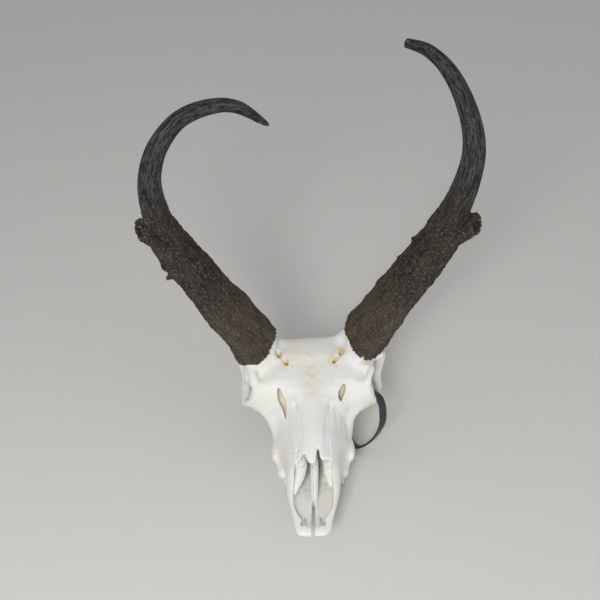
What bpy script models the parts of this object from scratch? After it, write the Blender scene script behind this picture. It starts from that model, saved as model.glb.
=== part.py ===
"""Pronghorn skull with its two black horn sheaths, life size, lying on its teeth.

The skull is laid out in millimetres on its own axes: X runs to the animal's left from the middle
plane, Y runs back from the tip of the snout, and Z runs up from the floor that the teeth stand on.
Left and right in the names are the animal's own. At the end every piece is scaled to metres and
moved so that the origin is at the bottom centre of the whole.
"""

import math

import bmesh
import bpy
import numpy as np
from mathutils import Matrix, Vector

MM = 0.001
GAP = 0.3
OBJECT_NAME = "pronghorn_skull"
SIDES = (("right", -1.0), ("left", 1.0))
REACH = 200.0
SHARP_ANGLE = 50.0

RING_SIDES = 36
OVAL_SIDES = 28
STATION_STEP = 5.0
CURVE_STEPS = 24
VOXEL = 1.5
SKULL_TRIANGLES = 6400

# Cross sections from snout to nape: distance back, half width, level of the widest point, top,
# bottom, squareness above and squareness below (2 is an ellipse, less is pinched, more is boxy).
CORE_STATIONS = (
    (0.0, 12.5, 26.0, 29.0, 23.5, 2.6, 2.6),
    (6.0, 16.4, 26.0, 31.0, 22.5, 2.6, 2.8),
    (16.0, 18.6, 28.0, 34.0, 22.0, 2.6, 3.0),
    (28.0, 21.6, 30.0, 39.5, 22.0, 2.6, 3.0),
    (43.0, 25.2, 34.0, 50.5, 22.5, 2.4, 3.0),
    (56.0, 26.4, 38.0, 61.5, 23.0, 2.3, 3.2),
    (66.0, 27.4, 39.0, 67.0, 23.0, 2.1, 3.2),
    (80.0, 30.5, 36.0, 73.5, 22.0, 1.9, 3.0),
    (98.0, 37.5, 33.0, 81.0, 21.0, 1.6, 2.8),
    (112.0, 39.5, 37.0, 87.0, 21.0, 1.6, 2.4),
    (122.0, 43.0, 50.0, 91.0, 22.0, 1.9, 1.7),
    (130.0, 53.0, 64.0, 94.0, 23.0, 2.5, 1.4),
    (136.0, 61.0, 70.0, 96.5, 24.0, 3.0, 1.2),
    (148.0, 62.0, 80.0, 101.0, 30.0, 3.2, 1.1),
    (160.0, 61.0, 88.0, 106.3, 34.0, 3.0, 1.1),
    (171.0, 54.0, 89.0, 107.6, 34.0, 2.6, 1.15),
    (184.0, 43.0, 74.0, 103.2, 31.0, 2.2, 1.5),
    (198.0, 38.0, 59.0, 93.0, 27.0, 2.1, 2.0),
    (214.0, 37.0, 51.0, 79.5, 22.0, 2.0, 2.2),
    (228.0, 36.0, 45.0, 66.0, 19.0, 2.0, 2.4),
    (238.0, 31.0, 39.0, 56.0, 18.0, 2.0, 2.4),
    (247.0, 20.0, 32.0, 44.0, 19.0, 2.0, 2.2),
    (252.0, 9.0, 29.0, 34.0, 23.0, 2.0, 2.0),
)

# The nasal passage, with the same columns, open above in front of the nasal bones.
PASSAGE_STATIONS = (
    (-6.0, 4.0, 34.0, 70.0, 29.5, 4.0, 3.0),
    (8.0, 9.5, 34.0, 72.0, 28.5, 4.0, 3.0),
    (20.0, 13.2, 36.0, 76.0, 27.5, 4.0, 3.0),
    (34.0, 16.6, 38.0, 80.0, 27.5, 4.0, 3.0),
    (48.0, 18.4, 42.0, 82.0, 28.0, 4.0, 3.0),
    (53.0, 18.8, 43.0, 82.0, 28.5, 4.0, 3.0),
)
TUNNEL_STATIONS = (
    (50.0, 18.6, 43.0, 54.5, 28.5, 2.6, 3.0),
    (66.0, 18.0, 43.0, 61.5, 30.0, 2.4, 2.6),
    (84.0, 15.0, 44.0, 67.0, 33.0, 2.2, 2.2),
    (100.0, 8.0, 48.0, 62.0, 40.0, 2.0, 2.0),
    (106.0, 2.0, 50.0, 53.0, 47.0, 2.0, 2.0),
)
SEPTUM_THICKNESS = 2.6

# Hollows and lumps along the axes, each as its centre and its half sizes.
NASAL_NOTCH = ((8.5, 50.0, 64.0), (2.2, 11.0, 14.0))
PALATINE_FISSURE = ((8.8, 17.0, 25.0), (2.3, 9.0, 14.0))
MEDIAN_SLIT = ((0.0, 13.5, 30.0), (0.75, 23.5, 20.0))
ORBIT_CAVITY = ((64.0, 156.0, 76.0), (34.0, 19.8, 20.0))
TEMPORAL_FOSSA = ((60.0, 178.0, 62.0), (24.0, 22.0, 20.0))
LACRIMAL_WALL = ((49.0, 134.0, 69.0), (14.4, 8.0, 22.5))
BULLA = ((18.0, 209.0, 25.0), (8.0, 13.0, 11.0))
CONDYLE = ((12.5, 250.0, 25.0), (9.0, 9.5, 9.5))
FORAMEN_MAGNUM = ((0.0, 256.0, 36.0), (8.5, 16.0, 7.5))
PTERYGOID = ((12.5, 155.0, 30.0), (2.4, 16.0, 15.0))
CHOANA = ((0.0, 146.0, 32.0), (10.5, 22.0, 9.0))

# The rim of an orbit, with how far it swings outward at its rear, at its top and between them.
ORBIT_CENTRE = (67.0, 155.0, 76.0)
ORBIT_RADIUS = 24.0
ORBIT_FLARE = (5.7, -2.1, 3.5)
ORBIT_RIM_THICKNESS = 4.4

# Round bars of bone, each as the points that it runs through and its radius there.
BAR_STEP = 4.0
ZYGOMATIC_ARCH = ((69.0, 166.0, 54.0), (67.0, 186.0, 52.0), (57.0, 205.0, 49.0), (32.0, 218.0, 44.0))
ZYGOMATIC_RADII = (4.6, 4.4, 5.0, 7.5)
CHEEK_ROOT = ((32.0, 112.0, 37.0), (47.0, 129.5, 53.0), (64.0, 139.0, 59.0))
CHEEK_ROOT_RADII = (7.0, 7.0, 5.0)
EAR_TUBE = ((26.0, 206.0, 36.0), (39.0, 209.0, 41.0))
EAR_TUBE_RADII = (4.5, 4.5)

TOOTH_ROW_FRONT = 79.0
ALVEOLAR_EDGE = 15.0
# Premolars two to four and the three molars: length along the row, width and gap above the floor.
TEETH = (
    (8.2, 6.4, 1.6),
    (9.2, 8.2, 0.6),
    (9.6, 9.6, 0.0),
    (11.4, 11.0, 0.0),
    (12.6, 11.8, 0.0),
    (12.2, 10.6, 0.5),
)
TOOTH_ROW_X = (27.0, 31.5)
TOOTH_TOP = 24.0
TOOTH_SWELL = (0.94, 1.0, 0.78)
TOOTH_SIDES = 16
RIB_DEPTH = 0.07
LAST_PREMOLAR = 2

# The ridge that the cheek teeth grow from: share of the row, half width and how far its lower edge
# is tucked up, with the levels of its widest part and its top.
ALVEOLAR_RIDGE = (
    (-0.06, 4.0, 2.4),
    (0.0, 6.6, 0.0),
    (0.2, 7.1, 0.0),
    (0.5, 7.8, 0.0),
    (0.8, 7.6, 0.0),
    (1.0, 7.2, 0.0),
    (1.05, 4.3, 2.4),
)
ALVEOLAR_WIDEST = 26.0
ALVEOLAR_TOP = 36.0

# The bony point behind each ear, which stands on the floor: its root and its foot, and its half
# width and half depth at three shares of its height.
PAROCCIPITAL = ((28.0, 234.0, 34.0), (27.0, 238.0, 0.0))
PAROCCIPITAL_SECTIONS = ((0.0, 3.0, 4.5), (0.35, 3.6, 5.4), (1.0, 6.3, 9.5))

# The base of a sheath: its centre, the vector to its front edge and the vector to its inner edge.
SHEATH_BASE = (52.8, 164.5, 111.0)
SHEATH_FRONT = (0.42, -0.84, -0.34)
SHEATH_INNER = (-0.90, -0.25, 0.35)
SHEATH_BASE_HALVES = (26.0, 18.0)
SHEATH_BASE_BLEND = 34.0
PEDICLE_ROOT = (46.0, 161.0, 84.0)
PEDICLE_SHARE = 0.9
PEDICLE_SPARE = 1.6
PEDICLE_FLARE = ((0.0, 1.05, 0.9), (0.5, 1.02, 1.0), (1.0, 1.0, 1.0))
SEAT_MARGIN = 9.0
SEAT_HEIGHT = 45.0

# Middle lines of the sheaths, base to tip, both given on the positive side. The right one hooks in
# to a sharp tip, and the left one stands taller and ends blunt.
SHEATH_PATHS = {
    "right": (
        (52.8, 164.5, 111.0),
        (75.5, 173.8, 147.0),
        (92.0, 180.0, 165.5),
        (108.7, 186.0, 186.5),
        (126.0, 189.5, 211.5),
        (135.0, 189.0, 229.0),
        (140.0, 186.5, 252.0),
        (141.8, 181.0, 276.0),
        (140.0, 176.3, 300.0),
        (131.0, 180.2, 326.0),
        (112.0, 192.9, 345.5),
        (86.7, 204.3, 352.0),
        (62.0, 211.4, 348.2),
        (35.1, 212.3, 329.7),
    ),
    "left": (
        (52.8, 164.5, 111.0),
        (70.0, 172.5, 146.0),
        (89.0, 179.2, 173.6),
        (114.5, 185.8, 209.7),
        (125.5, 186.3, 232.0),
        (133.0, 184.2, 257.0),
        (139.4, 177.4, 292.0),
        (141.6, 178.6, 322.0),
        (135.4, 189.5, 350.0),
        (121.4, 209.5, 375.5),
        (104.0, 229.5, 388.2),
        (85.9, 243.5, 390.2),
    ),
}
# Half sizes of the sheath's section along its curve: arc length, broad half, thin half.
SHEATH_SECTIONS = {
    "right": (
        (0.0, 26.0, 18.0),
        (30.0, 25.5, 16.5),
        (70.0, 24.0, 14.8),
        (115.0, 23.0, 14.2),
        (145.0, 21.0, 14.0),
        (168.0, 15.2, 12.6),
        (215.0, 11.9, 10.8),
        (262.0, 9.2, 9.0),
        (300.0, 7.9, 7.6),
        (335.0, 6.2, 6.0),
        (352.0, 4.2, 4.0),
        (364.0, 1.6, 1.5),
    ),
    "left": (
        (0.0, 26.0, 18.0),
        (30.0, 25.5, 16.5),
        (70.0, 24.0, 14.8),
        (115.0, 23.0, 14.2),
        (145.0, 21.0, 14.0),
        (168.0, 15.2, 12.6),
        (215.0, 12.0, 11.0),
        (255.0, 10.0, 9.4),
        (290.0, 8.4, 7.9),
        (325.0, 6.6, 6.4),
        (352.0, 5.0, 4.8),
    ),
}
SHEATH_TWIST = 32.0
SHEATH_STEP = 10.0
SHEATH_SIDES = 24
# The broken prong of each sheath: its place along the curve, its length and its direction.
PRONGS = {
    "right": (141.0, 39.2, (0.566, -0.5, 0.656)),
    "left": (132.0, 46.8, (0.618, -0.453, 0.643)),
}
PRONG_UPRIGHT = (0.3, 0.86, 0.41)
PRONG_ROOT = (21.0, 11.0)
PRONG_END = (12.0, 7.5)
PRONG_SWELL = ((0.0, 0.6), (0.2, 0.85), (0.45, 1.0), (0.75, 1.0), (1.0, 1.0))
PRONG_SIDES = 16

# The plain moulded band that hangs through the left orbit, round the bone below it.
# Each row is a point of its closed middle line and the direction that its outer face looks in.
BAND_LINE = (
    ((61.8, 154.2, 61.8), (0.375, 0.1, 0.93)),
    ((72.4, 140.8, 64.6), (0.55, -0.1, 0.83)),
    ((75.6, 131.6, 58.2), (0.7, -0.278, 0.652)),
    ((75.3, 127.8, 46.6), (0.75, -0.52, 0.407)),
    ((73.7, 122.2, 37.1), (0.705, -0.7, 0.112)),
    ((69.0, 119.4, 27.0), (0.575, -0.794, -0.196)),
    ((61.8, 120.0, 17.5), (0.375, -0.793, -0.479)),
    ((55.3, 122.7, 11.5), (0.194, -0.73, -0.656)),
    ((48.3, 126.8, 7.2), (-0.1, -0.6, -0.79)),
    ((43.4, 132.0, 7.0), (-0.6, -0.4, -0.7)),
    ((40.6, 138.5, 8.0), (-0.95, -0.1, -0.3)),
    ((39.5, 146.0, 11.0), (-0.95, 0.15, -0.3)),
    ((37.0, 153.5, 18.0), (-0.8, 0.45, -0.4)),
    ((34.5, 159.5, 28.5), (-0.75, 0.6, -0.25)),
    ((35.5, 164.0, 40.0), (-0.7, 0.7, 0.1)),
    ((41.0, 166.0, 50.0), (-0.45, 0.7, 0.55)),
    ((50.5, 162.5, 58.5), (0.0, 0.5, 0.87)),
)
BAND_WIDTH = 8.6
BAND_THICKNESS = 2.1
BAND_EDGE = 0.6
BAND_SIDES = 84

# Where the skull is parted, as a line of points (distance back, height) seen from the side.
PREMAXILLA_LINE = ((44.0, -20.0), (46.0, 24.0), (72.0, 66.0), (72.0, 160.0))
CRANIUM_LINE = ((147.0, -20.0), (147.0, 26.0), (128.0, 34.0), (120.0, 70.0), (116.0, 160.0))
AHEAD = ((-60.0, -20.0), (-60.0, 160.0))
BEHIND = ((400.0, -20.0), (400.0, 160.0))
# The block that takes in the nasal bones: half width at each distance back, with its two levels.
NASAL_BLOCK = ((13.5, 40.0), (13.5, 52.0), (16.5, 118.0))
NASAL_LEVELS = (52.0, 130.0)

COLOURS = {
    "bone": ((0.80, 0.75, 0.64), 0.55),
    "horn": ((0.055, 0.042, 0.034), 0.62),
    "band": ((0.02, 0.02, 0.022), 0.45),
}


def clear_scene():
    """Removes the objects that Blender opens with."""
    for obj in list(bpy.data.objects):
        bpy.data.objects.remove(obj, do_unlink=True)


def make_collection(name):
    """Returns a new collection linked to the scene."""
    collection = bpy.data.collections.new(name)
    bpy.context.scene.collection.children.link(collection)
    return collection


def make_material(name, colour, roughness):
    """Returns a material with one Principled shader."""
    material = bpy.data.materials.new(name)
    material.use_nodes = True
    shader = material.node_tree.nodes["Principled BSDF"]
    shader.inputs["Base Color"].default_value = (*colour, 1.0)
    shader.inputs["Roughness"].default_value = roughness
    shader.inputs["Metallic"].default_value = 0.0
    return material


def add_object(name, mesh, collection):
    """Links a mesh to a collection as an object."""
    obj = bpy.data.objects.new(name, mesh)
    collection.objects.link(obj)
    return obj


def mesh_from(name, bm):
    """Turns an edit mesh into mesh data with its faces pointing out."""
    bmesh.ops.recalc_face_normals(bm, faces=bm.faces)
    mesh = bpy.data.meshes.new(name)
    bm.to_mesh(mesh)
    bm.free()
    return mesh


def loft(name, rings, collection):
    """Skins closed rings of points one after another and closes both ends."""
    bm = bmesh.new()
    loops = [[bm.verts.new(point) for point in ring] for ring in rings]
    for first, second in zip(loops, loops[1:]):
        for i, corner in enumerate(first):
            j = (i + 1) % len(first)
            bm.faces.new((corner, first[j], second[j], second[i]))
    for loop in (loops[0], loops[-1]):
        bm.faces.new(loop)
    return add_object(name, mesh_from(name, bm), collection)


def prism(name, outline, half_width, collection):
    """A block with the given outline in Y and Z, as wide as twice the half width in X."""
    rings = [[(x, y, z) for y, z in outline] for x in (-half_width, half_width)]
    return loft(name, rings, collection)


def ball(name, centre, radii, collection):
    """An ellipsoid along the axes."""
    bm = bmesh.new()
    bmesh.ops.create_uvsphere(bm, u_segments=32, v_segments=18, radius=1.0)
    place = Matrix.Translation(centre) @ Matrix.Diagonal((*radii, 1.0))
    bmesh.ops.transform(bm, matrix=place, verts=bm.verts)
    return add_object(name, mesh_from(name, bm), collection)


def block(name, centre, half_sizes, collection):
    """A box along the axes."""
    bm = bmesh.new()
    bmesh.ops.create_cube(bm, size=2.0)
    place = Matrix.Translation(centre) @ Matrix.Diagonal((*half_sizes, 1.0))
    bmesh.ops.transform(bm, matrix=place, verts=bm.verts)
    return add_object(name, mesh_from(name, bm), collection)


def tube(name, points, radii, collection, closed=False):
    """A round bar along points, each with its own radius, as a closed mesh."""
    curve = bpy.data.curves.new(name, "CURVE")
    curve.dimensions = "3D"
    curve.bevel_depth = 1.0
    curve.bevel_resolution = 4
    curve.use_fill_caps = True
    spline = curve.splines.new("POLY")
    spline.points.add(len(points) - 1)
    for spot, point, radius in zip(spline.points, points, radii):
        spot.co = (*point, 1.0)
        spot.radius = radius
    spline.use_cyclic_u = closed
    obj = add_object(name, curve, collection)
    shape = obj.evaluated_get(bpy.context.evaluated_depsgraph_get())
    mesh = bpy.data.meshes.new_from_object(shape)
    bpy.data.objects.remove(obj, do_unlink=True)
    bm = bmesh.new()
    bm.from_mesh(mesh)
    bmesh.ops.remove_doubles(bm, verts=bm.verts, dist=0.001)
    return add_object(name, mesh_from(name, bm), collection)


def smooth_path(points, step):
    """Points every step along a smooth curve through the given ones, with their arc lengths."""
    points = np.asarray(points, float)
    padded = np.vstack([2 * points[0] - points[1], points, 2 * points[-1] - points[-2]])
    fine = []
    for p0, p1, p2, p3 in zip(padded, padded[1:], padded[2:], padded[3:]):
        for t in np.linspace(0.0, 1.0, CURVE_STEPS, endpoint=False):
            bend = (2 * p0 - 5 * p1 + 4 * p2 - p3) * t * t + (3 * p1 - p0 - 3 * p2 + p3) * t**3
            fine.append(p1 + 0.5 * ((p2 - p0) * t + bend))
    fine = np.array([*fine, points[-1]])
    arc = np.concatenate([[0.0], np.cumsum(np.linalg.norm(np.diff(fine, axis=0), axis=1))])
    at = np.linspace(0.0, arc[-1], max(2, round(arc[-1] / step) + 1))
    path = np.column_stack([np.interp(at, arc, fine[:, k]) for k in range(3)])
    return path, at


def unit(vector):
    """The vector at length one."""
    vector = np.asarray(vector, float)
    return vector / np.linalg.norm(vector)


def mirrored(point, side):
    """A point given for the left side, on the asked side."""
    return (side * point[0], *point[1:])


def baked(obj):
    """Applies an object's modifiers."""
    shape = obj.evaluated_get(bpy.context.evaluated_depsgraph_get())
    mesh = bpy.data.meshes.new_from_object(shape)
    obj.modifiers.clear()
    obj.data = mesh
    return obj


def boolean(obj, operation, others, solver="EXACT"):
    """Joins, cuts or intersects an object with a collection's objects, and removes those."""
    modifier = obj.modifiers.new(operation.lower(), "BOOLEAN")
    modifier.operation = operation
    modifier.solver = solver
    modifier.operand_type = "COLLECTION"
    modifier.collection = others
    baked(obj)
    for other in list(others.objects):
        bpy.data.objects.remove(other, do_unlink=True)
    return obj


def keep_largest(obj):
    """Leaves an object only its largest closed surface."""
    bm = bmesh.new()
    bm.from_mesh(obj.data)
    bmesh.ops.triangulate(bm, faces=bm.faces)
    unseen = set(bm.verts)
    groups = []
    while unseen:
        group = {unseen.pop()}
        front = list(group)
        while front:
            near = {edge.other_vert(vert) for vert in front for edge in vert.link_edges} - group
            group |= near
            front = list(near)
        unseen -= group
        groups.append(group)
    groups.sort(key=surface_volume, reverse=True)
    for group in groups[1:]:
        bmesh.ops.delete(bm, geom=list(group), context="VERTS")
    bm.to_mesh(obj.data)
    bm.free()
    return obj


def surface_volume(verts):
    """The volume inside the triangles that a set of vertices carries."""
    faces = {face for vert in verts for face in vert.link_faces}
    return sum(
        face.verts[0].co.dot(face.verts[1].co.cross(face.verts[2].co)) / 6.0 for face in faces
    )


def station_ring(y, half_width, wide, top, bottom, above, below, sides=RING_SIDES):
    """One cross section, squarer or more pinched above and below its widest level."""
    ring = []
    for i in range(sides):
        angle = 2 * math.pi * i / sides
        across, up = math.cos(angle), math.sin(angle)
        power = 2.0 / (above if up >= 0 else below)
        rise = (top - wide) if up >= 0 else (wide - bottom)
        x = half_width * math.copysign(abs(across) ** power, across)
        ring.append((x, y, wide + rise * math.copysign(abs(up) ** power, up)))
    return ring


def station_loft(name, stations, collection):
    """Skins the sections, with more between them read from smooth curves through the columns."""
    table = np.asarray(stations, float)
    count = round((table[-1, 0] - table[0, 0]) / STATION_STEP) + 1
    spots = np.union1d(np.linspace(table[0, 0], table[-1, 0], count), table[:, 0])
    columns = [smooth_column(spots, table[:, 0], table[:, k]) for k in range(1, table.shape[1])]
    rings = [station_ring(*row) for row in zip(spots, *columns)]
    return loft(name, rings, collection)


def smooth_column(spots, at, values):
    """A curve through the values that doesn't overshoot between them."""
    slope = np.diff(values) / np.diff(at)
    tangent = np.zeros_like(values)
    same = slope[:-1] * slope[1:] > 0
    tangent[1:-1][same] = 2 * (slope[:-1] * slope[1:])[same] / (slope[:-1] + slope[1:])[same]
    tangent[0], tangent[-1] = slope[0], slope[-1]
    k = np.clip(np.searchsorted(at, spots) - 1, 0, len(at) - 2)
    width = at[k + 1] - at[k]
    t = (spots - at[k]) / width
    value = values[k] * (1 + 2 * t) * (1 - t) ** 2 + values[k + 1] * t * t * (3 - 2 * t)
    return value + width * (tangent[k] * t * (1 - t) ** 2 - tangent[k + 1] * t * t * (1 - t))


def orbit_point(angle, side):
    """A point on the rim of an orbit, which swings outward at its rear."""
    x, y, z = ORBIT_CENTRE
    rear, above, between = ORBIT_FLARE
    out = rear * math.cos(angle) + above * math.sin(angle) + between * math.sin(2 * angle)
    return (
        side * (x + out),
        y + ORBIT_RADIUS * math.cos(angle),
        z + ORBIT_RADIUS * math.sin(angle),
    )


def sheath_base_frame(side):
    """The centre of a sheath's base with the vectors to its front edge and its inner edge."""
    centre = np.array(mirrored(SHEATH_BASE, side))
    return centre, unit(mirrored(SHEATH_FRONT, side)), unit(mirrored(SHEATH_INNER, side))


def oval(centre, first, second, first_half, second_half, sides):
    """A ring of points round a centre, on two given vectors."""
    angles = [2 * math.pi * i / sides for i in range(sides)]
    return [
        tuple(centre + first_half * math.cos(a) * first + second_half * math.sin(a) * second)
        for a in angles
    ]


def base_normal(front, inner):
    """The direction out of a sheath's base, up its shaft."""
    normal = unit(np.cross(front, inner))
    return normal * math.copysign(1.0, normal[2])


def add_pedicle(side, collection):
    """The bony stalk that a sheath stands on, a little taller than it ends up."""
    centre, front, inner = sheath_base_frame(side)
    top = centre + PEDICLE_SPARE * base_normal(front, inner)
    broad, thin = (half * PEDICLE_SHARE for half in SHEATH_BASE_HALVES)
    root = np.array(mirrored(PEDICLE_ROOT, side))
    rings = [
        oval(root + (top - root) * share, front, inner, broad * wider, thin * thicker, OVAL_SIDES)
        for share, wider, thicker in PEDICLE_FLARE
    ]
    return loft("pedicle", rings, collection)


def cut_seats(skull):
    """Trims the stalks flat, a thin gap under the base of each sheath."""
    cutters = make_collection("seats")
    broad, thin = (half + SEAT_MARGIN for half in SHEATH_BASE_HALVES)
    for _, side in SIDES:
        centre, front, inner = sheath_base_frame(side)
        normal = base_normal(front, inner)
        floor = centre - GAP * normal
        rings = [
            oval(floor + normal * height, front, inner, broad, thin, OVAL_SIDES)
            for height in (0.0, SEAT_HEIGHT)
        ]
        loft("seat", rings, cutters)
    return boolean(skull, "DIFFERENCE", cutters)


def add_orbit_walls(side, collection):
    """The bone in front of an orbit, from the face out to the rim."""
    ball("lacrimal", mirrored(LACRIMAL_WALL[0], side), LACRIMAL_WALL[1], collection)
    add_bar("cheek", CHEEK_ROOT, CHEEK_ROOT_RADII, side, collection)
    add_pedicle(side, collection)


def add_bar(name, spots, sizes, side, collection):
    """A round bar of bone through a few points, with its radius at each."""
    path, arc = smooth_path([mirrored(spot, side) for spot in spots], BAR_STEP)
    radii = np.interp(arc, np.linspace(0.0, arc[-1], len(sizes)), sizes)
    return tube(name, path, radii, collection)


def add_outer_bones(side, collection):
    """The rim of an orbit, the cheek's arch and the bones of the skull base."""
    rim = [orbit_point(2 * math.pi * i / OVAL_SIDES, side) for i in range(OVAL_SIDES)]
    tube("rim", rim, [ORBIT_RIM_THICKNESS] * len(rim), collection, closed=True)
    add_bar("arch", ZYGOMATIC_ARCH, ZYGOMATIC_RADII, side, collection)
    for name, (centre, radii) in (
        ("bulla", BULLA),
        ("condyle", CONDYLE),
        ("pterygoid", PTERYGOID),
    ):
        ball(name, mirrored(centre, side), radii, collection)
    tube("ear", [mirrored(spot, side) for spot in EAR_TUBE], EAR_TUBE_RADII, collection)
    add_alveolar_ridge(side, collection)


def add_alveolar_ridge(side, collection):
    """The ridge of the upper jaw that the cheek teeth grow from."""
    length = sum(tooth[0] for tooth in TEETH)
    rings = []
    for share, half, tuck in ALVEOLAR_RIDGE:
        y = TOOTH_ROW_FRONT + length * share
        x = side * float(np.interp(share, (0.0, 1.0), TOOTH_ROW_X))
        low = ALVEOLAR_EDGE + tuck
        ring = station_ring(y, half, ALVEOLAR_WIDEST, ALVEOLAR_TOP, low, 2.0, 3.0, OVAL_SIDES)
        rings.append([(x + px, py, pz) for px, py, pz in ring])
    return loft("alveolar", rings, collection)


def half_space(side, gap):
    """A collection with a large block on one side of the middle plane, half a gap away from it."""
    keep = make_collection("half")
    block("half", (side * (REACH + gap / 2), 0.0, 0.0), (REACH, 2 * REACH, REACH), keep)
    return keep


def cut_openings(skull):
    """The nasal passage, the slit and fissures between the premaxillae, and the rear holes."""
    cutters = make_collection("openings")
    station_loft("passage", PASSAGE_STATIONS, cutters)
    boolean(skull, "DIFFERENCE", cutters)
    for _, side in SIDES:
        tunnel = station_loft("tunnel", TUNNEL_STATIONS, cutters)
        boolean(tunnel, "INTERSECT", half_space(side, SEPTUM_THICKNESS))
        for name, (centre, radii) in (("fissure", PALATINE_FISSURE), ("notch", NASAL_NOTCH)):
            ball(name, mirrored(centre, side), radii, cutters)
    block("slit", *MEDIAN_SLIT, cutters)
    ball("foramen", *FORAMEN_MAGNUM, cutters)
    ball("choana", *CHOANA, cutters)
    return boolean(skull, "DIFFERENCE", cutters)


def make_bone_form():
    """The whole skull without its teeth, smoothed to one bony surface."""
    pieces = make_collection("bone_pieces")
    skull = station_loft("skull", CORE_STATIONS, make_collection("bone_core"))
    for _, side in SIDES:
        add_orbit_walls(side, pieces)
    boolean(skull, "UNION", pieces)
    for _, side in SIDES:
        for centre, radii in (ORBIT_CAVITY, TEMPORAL_FOSSA):
            ball("hollow", mirrored(centre, side), radii, pieces)
    boolean(skull, "DIFFERENCE", pieces)
    for _, side in SIDES:
        add_outer_bones(side, pieces)
    boolean(skull, "UNION", pieces)
    cut_openings(skull)
    remesh = skull.modifiers.new("surface", "REMESH")
    remesh.mode = "VOXEL"
    remesh.voxel_size = VOXEL
    soften = skull.modifiers.new("soften", "SMOOTH")
    soften.factor = 0.5
    soften.iterations = 4
    baked(skull)
    faces = sum(len(face.vertices) - 2 for face in skull.data.polygons)
    fewer = skull.modifiers.new("fewer", "DECIMATE")
    fewer.ratio = SKULL_TRIANGLES / faces
    return keep_largest(cut_seats(baked(skull)))


def add_teeth(collection):
    """The cheek teeth, each a ribbed column with a flat worn crown, and the bony flats behind."""
    for _, side in SIDES:
        y = TOOTH_ROW_FRONT
        length = sum(tooth[0] for tooth in TEETH)
        for number, (depth, width, lift) in enumerate(TEETH):
            middle = y + depth / 2
            share = (middle - TOOTH_ROW_FRONT) / length
            x = side * float(np.interp(share, (0.0, 1.0), TOOTH_ROW_X))
            lobes = 1 if number <= LAST_PREMOLAR else 2
            rings = [
                tooth_ring(x, middle, z, width * swell, depth * swell, side, lobes)
                for z, swell in zip((lift, ALVEOLAR_EDGE / 2, TOOTH_TOP), TOOTH_SWELL)
            ]
            loft("tooth", rings, collection)
            y += depth
        add_paroccipital(side, collection)


def add_paroccipital(side, collection):
    """The bony point behind an ear, flat where it stands on the floor."""
    top, foot = (np.array(mirrored(point, side)) for point in PAROCCIPITAL)
    across, back = np.eye(3)[:2]
    rings = [
        oval(foot + (top - foot) * share, across, back, half_width, half_depth, TOOTH_SIDES)
        for share, half_width, half_depth in PAROCCIPITAL_SECTIONS
    ]
    return loft("process", rings, collection)


def tooth_ring(x, y, z, width, depth, side, lobes):
    """A tooth's outline, with one or two upright ribs on its cheek side."""
    ring = []
    for i in range(TOOTH_SIDES):
        angle = 2 * math.pi * i / TOOTH_SIDES
        across, along = math.cos(angle), math.sin(angle)
        wave = math.cos(math.pi * lobes * (along + 1))
        rib = 1.0 + RIB_DEPTH * wave * max(side * across, 0.0)
        px = x + rib * width / 2 * math.copysign(abs(across) ** 0.6, across)
        ring.append((px, y + depth / 2 * math.copysign(abs(along) ** 0.7, along), z))
    return ring


def region_between(name, front_line, rear_line, collection):
    """The space between two cut lines seen from the side, keeping half the gap at each."""
    outline = [(y + GAP / 2, z) for y, z in front_line]
    outline += [(y - GAP / 2, z) for y, z in reversed(rear_line)]
    return prism(name, outline, REACH, collection)


def part_skull(skull, collection):
    """Parts the skull with thin cuts into its cranium, its face and its front."""
    regions = {
        "cranium": (CRANIUM_LINE, BEHIND),
        "face": (PREMAXILLA_LINE, CRANIUM_LINE),
        "premaxilla": (AHEAD, PREMAXILLA_LINE),
    }
    found = {}
    for name, (front, rear) in regions.items():
        piece = add_object(name, skull.data.copy(), collection)
        keep = make_collection("keep")
        region_between("keep", front, rear, keep)
        found[name] = boolean(piece, "INTERSECT", keep)
    return found


def nasal_region(name, margin, collection):
    """The block that takes in the nasal bones, wider towards the back, with a margin round it."""
    floor, top = NASAL_LEVELS[0] - margin, NASAL_LEVELS[1]
    rear = NASAL_BLOCK[-1][1]
    rings = []
    for half, y in NASAL_BLOCK:
        half, y = half + margin, y + margin * (y == rear)
        rings.append([(-half, y, floor), (half, y, floor), (half, y, top), (-half, y, top)])
    return loft(name, rings, collection)


def make_skull(collection):
    """The bony nodes, joined face to face by thin gaps."""
    skull = make_bone_form()
    pieces = make_collection("teeth")
    add_teeth(pieces)
    boolean(skull, "UNION", pieces)
    keep_largest(skull)
    nasals = add_object("nasals", skull.data.copy(), collection)
    region = make_collection("region")
    nasal_region("region", 0.0, region)
    boolean(nasals, "INTERSECT", region)
    nasal_region("region", GAP, region)
    boolean(skull, "DIFFERENCE", region)
    parts = part_skull(skull, collection)
    bpy.data.objects.remove(skull, do_unlink=True)
    whole = parts.pop("premaxilla")
    for name, side in SIDES:
        half = add_object(f"premaxilla_{name}", whole.data.copy(), collection)
        parts[half.name] = boolean(half, "INTERSECT", half_space(side, GAP))
    bpy.data.objects.remove(whole, do_unlink=True)
    parts["nasals"] = nasals
    for piece in parts.values():
        keep_largest(piece)
    return list(parts.values())


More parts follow.
